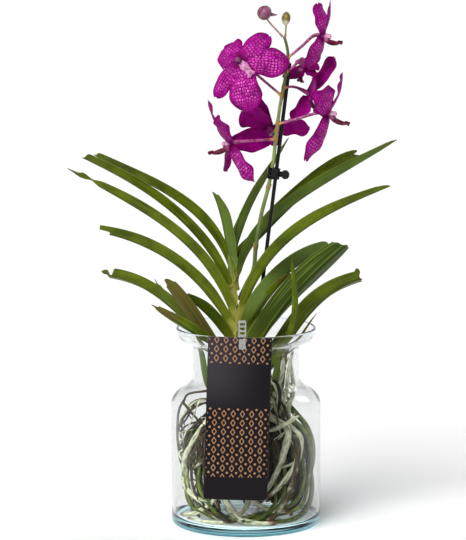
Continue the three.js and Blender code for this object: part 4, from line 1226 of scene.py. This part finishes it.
def add_mat(shape, draw):
    """Old roots that fill the middle of the vase, near black partly with age and partly as painted shade.
    """
    steps = 26
    for i in range(MAT["count"]):
        angle = fan_angle(MAT, i, draw)
        reach, low = draw.uniform(*MAT["reach"]), MAT["low"] + draw.uniform(0, 34)
        swing = draw.uniform(-0.7, 0.7)

        def spot(share, z):
            return polar(reach * share, angle + swing * share, z)

        path = smooth_path([CROWN, spot(0.6, draw.uniform(118, 140)), spot(1, draw.uniform(80, 104)),
                            spot(draw.uniform(0.8, 1.05), draw.uniform(48, 66)), spot(0.7, low)], steps)
        thick, dark = draw.uniform(*MAT["radii"]), draw.uniform(1.1, 1.7)
        shape.tube(path, [thick] * steps + [thick * 0.4], 8,
                   values=lambda k: {"along": 0.4, "age": dark, "green": 0.2})


def add_crown(shape):
    """The knob that the roots grow from."""
    slopes = [pi * k / 24 for k in range(1, 24)]
    centres = [Vector((*CROWN[:2], CROWN[2] - CROWN_TALL * cos(slope))) for slope in slopes]
    shape.tube(centres, [CROWN_WIDE * sin(slope) for slope in slopes], 24, 0,
               lambda k, a: 1 + 0.07 * sin(5 * a + 0.4 * k) + 0.05 * sin(9 * a - 0.9 * k),
               lambda k: {"along": 0.4, "age": 0.8, "green": 0.2})


def make_roots(material):
    draw = random.Random(7)
    shape = Shape("along", "age", "green")
    rows = ROOT_PATHS + sweeping_roots()
    grown = len(rows)
    rows = rows + NECK_ROOTS
    first_twig = len(rows)
    rows += woody_twigs(draw)
    # the bundles and the tuft come last, with an age, a green and a share of old wood of their own
    groups = [(bundle_paths(kind, draw), kind) for kind in BUNDLES]
    tones = {}
    for paths, kind in groups + [(tuft_paths(draw), TUFT)]:
        for row in paths:
            ages = kind["ages"]
            tones[len(rows)] = ages[len(rows) % len(ages)], draw.uniform(*kind["greens"]), kind["old"]
            rows.append(row)
    for n, (radius, points) in enumerate(rows):
        steps = max(36, int(path_length(points) / 2.6))
        path = smooth_path(points, steps)
        phase, knobs = draw.uniform(0, 6), draw.uniform(0.03, 0.07)
        swept = len(ROOT_PATHS) <= n < grown
        age = WOODY_ROOTS.get(n, 0.6 if swept and n % 3 == 0 else draw.uniform(0, 0.25))
        green = 0.95 if n in GREEN_ROOTS or (swept and n % 2) else draw.uniform(0, 0.3)
        if n >= first_twig:
            age, green = draw.choice(TWIG_AGES), 0.3
        if n in FRONT_ROOTS:
            age, green = 0.0, 0.0
        age, green, old = tones.get(n, (age, green, 0))
        growing = n not in tones and n not in THIN_ROOTS

        def radius_at(t):
            r = radius * (1 if t < 0.75 else mix(1, 0.62, (t - 0.75) / 0.25))
            r *= 1 + knobs * sin(19 * t + phase) + 0.5 * knobs * sin(47 * t + 2 * phase)
            return r * (sqrt(max(1 - ((t - 0.975) / 0.025) ** 2, 0.05)) if t > 0.975 else 1)

        shape.tube(path, [radius_at(t) for t in shares(steps)], 12, 0,
                   lambda k, a: 1 + 0.05 * sin(2 * a + 0.15 * k + phase),
                   lambda k: {"along": k / steps if growing else 0.5, "green": green,
                              "age": age + old * (1 - smooth(0.35, 0.55, k / steps))})
        side_roots = 3 if n < THIN_ROOTS[0] or n >= first_twig else 2
        add_side_roots(shape, path, radius, age, green, side_roots, draw)
    add_mat(shape, draw)
    add_crown(shape)
    lowest = min(p.z for p in shape.points)
    shape.points = [p + Vector((0, 0, ROOT_FLOOR - lowest)) for p in shape.points]
    shape.piece("root_tangle", [material], "roots")


# ---------- vase
VASE_BODY, VASE_NECK, VASE_RIM, VASE_FOOT, VASE_TOP, VASE_WALL, VASE_FLOOR = 95, 67.4, 88.7, 88, 253, 3, 9
SHOULDER_START, SHOULDER_TOP, NECK_TOP = 154, 194, 225


def bezier(*corners, steps=16):
    return [Vector(p) for p in interpolate_bezier(*[Vector(c).to_3d() for c in corners], steps)]


def quad(a, b, c):
    """A curve with one corner to pull it, as the cubic that is the same."""
    one = (a[0] + 2 * (b[0] - a[0]) / 3, a[1] + 2 * (b[1] - a[1]) / 3)
    two = (c[0] + 2 * (b[0] - c[0]) / 3, c[1] + 2 * (b[1] - c[1]) / 3)
    return bezier(a, one, two, c, steps=10)


def vase_side(body, neck):
    """Straight up the body, over the shoulder and up the neck."""
    pull = 22
    shoulder = bezier((body, SHOULDER_START), (body, SHOULDER_START + pull), (neck, SHOULDER_TOP - pull),
                      (neck, SHOULDER_TOP), steps=26)
    return [(body, z) for z in range(24, SHOULDER_START, 12)] + shoulder + [(neck, 204), (neck, 214)]


def vase_line():
    """The glass outline: up the outside, over a round lip, down the inside."""
    body, neck, rim, foot, floor = VASE_BODY, VASE_NECK, VASE_RIM, VASE_FOOT, VASE_FLOOR
    inside, throat, mouth = body - VASE_WALL, neck - VASE_WALL, rim - VASE_WALL
    top, height = NECK_TOP, VASE_TOP
    line = [(0, 0.9), (foot * 0.5, 0.8), (foot - 6, 0.7), (foot - 3, 0.1), (foot - 1.2, 0)]
    line += quad((foot, 0), (body, 0), (body, 8)) + [(body, 12)] + vase_side(body, neck)
    line += bezier((neck, top), (neck, top + 12), (rim - 3, top + 4), (rim, height - 2), steps=20)
    line += bezier((rim, height - 1.8), (rim, height + 0.4), (mouth, height + 0.4), (mouth, height - 1.8),
                   steps=12)
    line += bezier((mouth, height - 2), (mouth - 2, top + 7), (throat, top + 14), (throat, top), steps=20)
    line += vase_side(inside, throat)[::-1]
    line += quad((inside, floor + 8), (inside, floor), (inside - 9, floor))
    line += [(60, floor - 0.6), (30, floor - 1), (0, floor - 1.2)]
    return [(point[0], min(point[1], height)) for point in line]


def make_vase(material):
    """The glass outline turned round."""
    profile = []
    for x, z in vase_line():
        if not profile or hypot(x - profile[-1][0], z - profile[-1][1]) > 0.15:
            profile.append((x, z))
    sides = 160
    shape = Shape()
    rings = []
    for x, z in profile:
        if x < 0.01:
            rings.append([shape.add(Vector((0, 0, z)))] * sides)
        else:
            rings.append([shape.add(Vector(polar(x, angle, z))) for angle in around(sides)])
    shape.skin(rings, ends=False)
    shape.piece("glass_jar", [material], "vase")


# ---------- card
TAG = dict(width=79.5, height=205, thickness=0.8, top_x=-7.6, lean=radians(1.7), bottom=49, curl=2.4)
HOOK_X, HOOK_WIDE, HOOK_THICK, SLOT_DROP = -5, 4, 1.3, 5
GAP = 0.3


def tag_depth(z):
    """How far in front of the middle the card hangs at a height, against the rim and the body."""
    top = VASE_RIM + GAP + HOOK_THICK + GAP + TAG["thickness"] / 2 + 0.3
    low = VASE_BODY + GAP + TAG["thickness"] / 2 + 0.4
    return -mix(low, top, smooth(148, VASE_TOP, z))


def cut_slot(card):
    """The slot in the card's top that the hook goes through."""
    z = VASE_TOP - SLOT_DROP
    box = bmesh.new()
    bmesh.ops.create_cube(box, size=1)
    bmesh.ops.scale(box, vec=((HOOK_WIDE + 2) * MM, 12 * MM, 4 * MM), verts=box.verts)
    bmesh.ops.translate(box, vec=(HOOK_X * MM, tag_depth(z) * MM, z * MM), verts=box.verts)
    mesh = bpy.data.meshes.new("slot_cutter")
    box.to_mesh(mesh)
    box.free()
    cutter = link(bpy.data.objects.new("slot_cutter", mesh))
    cut = card.modifiers.new("slot", "BOOLEAN")
    cut.operation, cut.object, cut.solver = "DIFFERENCE", cutter, "EXACT"
    apply_modifier(card, cut)
    bpy.data.objects.remove(cutter)


def make_tag(material):
    steps, places = 59, across(25)
    half, height = TAG["width"] / 2, TAG["height"]
    drop = half * sin(TAG["lean"])
    rows = []
    for i in range(steps + 1):
        z = TAG["bottom"] + height * i / steps
        middle = TAG["top_x"] - tan(TAG["lean"]) * (TAG["bottom"] + height - z)
        rows.append([Vector((middle + s * half, tag_depth(z) + TAG["curl"] * s * s, z - s * drop))
                     for s in places])
    shape = Shape("edge")
    shape.blade(rows, lambda i, j: TAG["thickness"],
                lambda i, j: (places[j] * half / GRAIN, height / GRAIN * i / steps),
                lambda i, j: {"edge": max(abs(places[j]), abs(2 * i / steps - 1))})
    cut_slot(shape.piece("card", [material], "tag", sharp_angle=30))


# ---------- clip and hanger
def smoothed_copy(node, name, material, width, body):
    """The CAD piece again with its edges rounded, so that they catch the light."""
    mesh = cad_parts[node].data.copy()
    mesh.name = name
    made = link(bpy.data.objects.new(name, mesh))
    work = bmesh.new()
    work.from_mesh(mesh)
    bmesh.ops.remove_doubles(work, verts=work.verts, dist=1e-6)
    bmesh.ops.dissolve_limit(work, angle_limit=radians(1), verts=work.verts, edges=work.edges)
    work.to_mesh(mesh)
    work.free()
    mesh.materials.clear()
    mesh.materials.append(material)
    sharp_angle = 35
    stand_in(made, body, node, sharp_angle)
    bevel = made.modifiers.new("round", "BEVEL")
    bevel.width, bevel.segments, bevel.limit_method = width * MM, 3, "ANGLE"
    bevel.angle_limit, bevel.use_clamp_overlap = radians(sharp_angle), True
    apply_modifier(made, bevel)


# ---------- everything
green_leaf = leaf_paint()
leaf_rows = [(f"{group}_{n}", *row, "old_leaf" if n >= FIRST_OLD_LEAF else "leaf_blade")
             for group, group_rows in LEAVES.items() for n, row in enumerate(group_rows, 1)]
for index, leaf_row in enumerate(leaf_rows):
    make_leaf(index, *leaf_row, green_leaf)

bloom_paints = [
    petal_paint(),
    pedicel_paint(),
    plain_paint("flower_column", (238, 196, 222), (208, 138, 184), 0.4, 250, 0.15, coats=column_coats,
                Subsurface_Weight=0.2, Subsurface_Scale=0.002),
    plain_paint("lip_petal", (116, 0, 50), (56, 0, 26), 0.34, bump=0.3, depth=0.0004, coats=lip_coats,
                Specular_IOR_Level=0.3),
]
for bloom_key, bloom_row in BLOOMS.items():
    make_bloom(bloom_key, bloom_row, *bloom_paints)

make_bud("bud_pink", "bud_1", centre=(23, 0, 650.5), size=(9.5, 9), lean=(0.55, 0, 0.83), beak=(39, 0, 648),
         foot=(26, 0, 643), fork=(46, 0, 620.4), materials=[
             bud_paint("pink_bud", (158, 88, 124), (92, 44, 68), (126, 92, 74), 260, 0.4),
             plain_paint("bud_stalk", (176, 150, 116), (150, 108, 106))])
make_bud("bud_olive", "bud_2", centre=(50, 0, 643.5), size=(8.5, 5.6), lean=(0.1, 0, 1),
         foot=(50, 0, 637), fork=(49.1, 0, 620.4), materials=[
             bud_paint("green_bud", (150, 138, 58), (92, 80, 26), (222, 216, 176), 300, 0.5),
             plain_paint("bud_foot", (150, 150, 84), (112, 112, 52))])
make_stem(
    stem_paint("stem_skin", (186, 184, 88), (142, 146, 56), (96, 60, 34), (204, 204, 128), stem_coats))
make_spike([
    stem_paint("stalk_skin", (150, 168, 92), (104, 124, 54), (94, 58, 66), (168, 112, 64), stalk_coats),
    plain_paint("stalk_scale", (206, 150, 84), (150, 96, 52), 0.55, 400, 0.3)])
make_stake(black_paint("stake_plastic", 0.3, 0.2, 0.2, 0.1))
make_roots(root_paint())
make_vase(glass_paint())
make_tag(card_paint())
clip_black = black_paint("clip_plastic", 0.16, 0.1, 0.1, 0.3)
smoothed_copy("clip_front", "claw_front", clip_black, 0.35, JAW)
smoothed_copy("clip_back", "claw_back", clip_black, 0.35, PLANT)
smoothed_copy("hanger", "clear_hook", clear_plastic_paint(), 0.25, PLANT)


# ---------- floor, light and camera
def make_floor(size):
    p = Paint("pale_floor", Roughness=0.7)
    mesh = bpy.data.meshes.new("floor")
    corners = [(-size, -size, 0), (size, -size, 0), (size, size, 0), (-size, size, 0)]
    mesh.from_pydata(corners, [], [(0, 1, 2, 3)])
    mesh.materials.append(p.done(p.blend(p.place().noise(3), (0.95, 0.95, 0.95, 1), (0.98, 0.98, 0.98, 1))))
    floor = link(bpy.data.objects.new("floor", mesh))


def make_world():
    """A studio with a white backdrop, dimmer overhead and in front."""
    world = bpy.data.worlds.new("studio")
    world.use_nodes = True
    studio = Nodes(world.node_tree)
    toward = studio.place("Generated")
    strength = toward.axis(2).ramp(0.06, 0.36, 1.04, 0.34) * toward.axis(1).ramp(-0.5, 0.6, 0.66, 1.0)
    background = world.node_tree.nodes["Background"].inputs
    studio.feed(background["Strength"], strength)
    studio.feed(background["Color"], (1, 1, 1, 1))
    bpy.context.scene.world = world


def sun(name, toward, strength, angle):
    lamp = bpy.data.lights.new(name, "SUN")
    lamp.energy, lamp.angle = strength, radians(angle)
    made = link(bpy.data.objects.new(name, lamp))
    made.rotation_euler = Vector(toward).to_track_quat("-Z", "Y").to_euler()


make_floor(40)
make_world()
sun("key", (0.45, 0.7, -0.85), 3.15, 34)
sun("rim", (-0.6, -0.5, -0.5), 0.55, 20)
bpy.context.scene.view_settings.view_transform = "Standard"

CAMERA_X, CAMERA_BACK, CAMERA_Z, AIM_Z = -16.5, 3730, 850, 325.5
SENSOR, PICTURE_HEIGHT, PICTURE_FOCUS = 36, 540, 2973
lens = bpy.data.cameras.new("camera")
lens.lens, lens.sensor_width, lens.clip_end = PICTURE_FOCUS * SENSOR / PICTURE_HEIGHT, SENSOR, 200
camera = link(bpy.data.objects.new("camera", lens))
camera.location = Vector((CAMERA_X, -CAMERA_BACK, CAMERA_Z)) * MM
aim = Vector((CAMERA_X, 0, AIM_Z)) * MM
camera.rotation_euler = (aim - camera.location).to_track_quat("-Z", "Y").to_euler()
bpy.context.scene.camera = camera
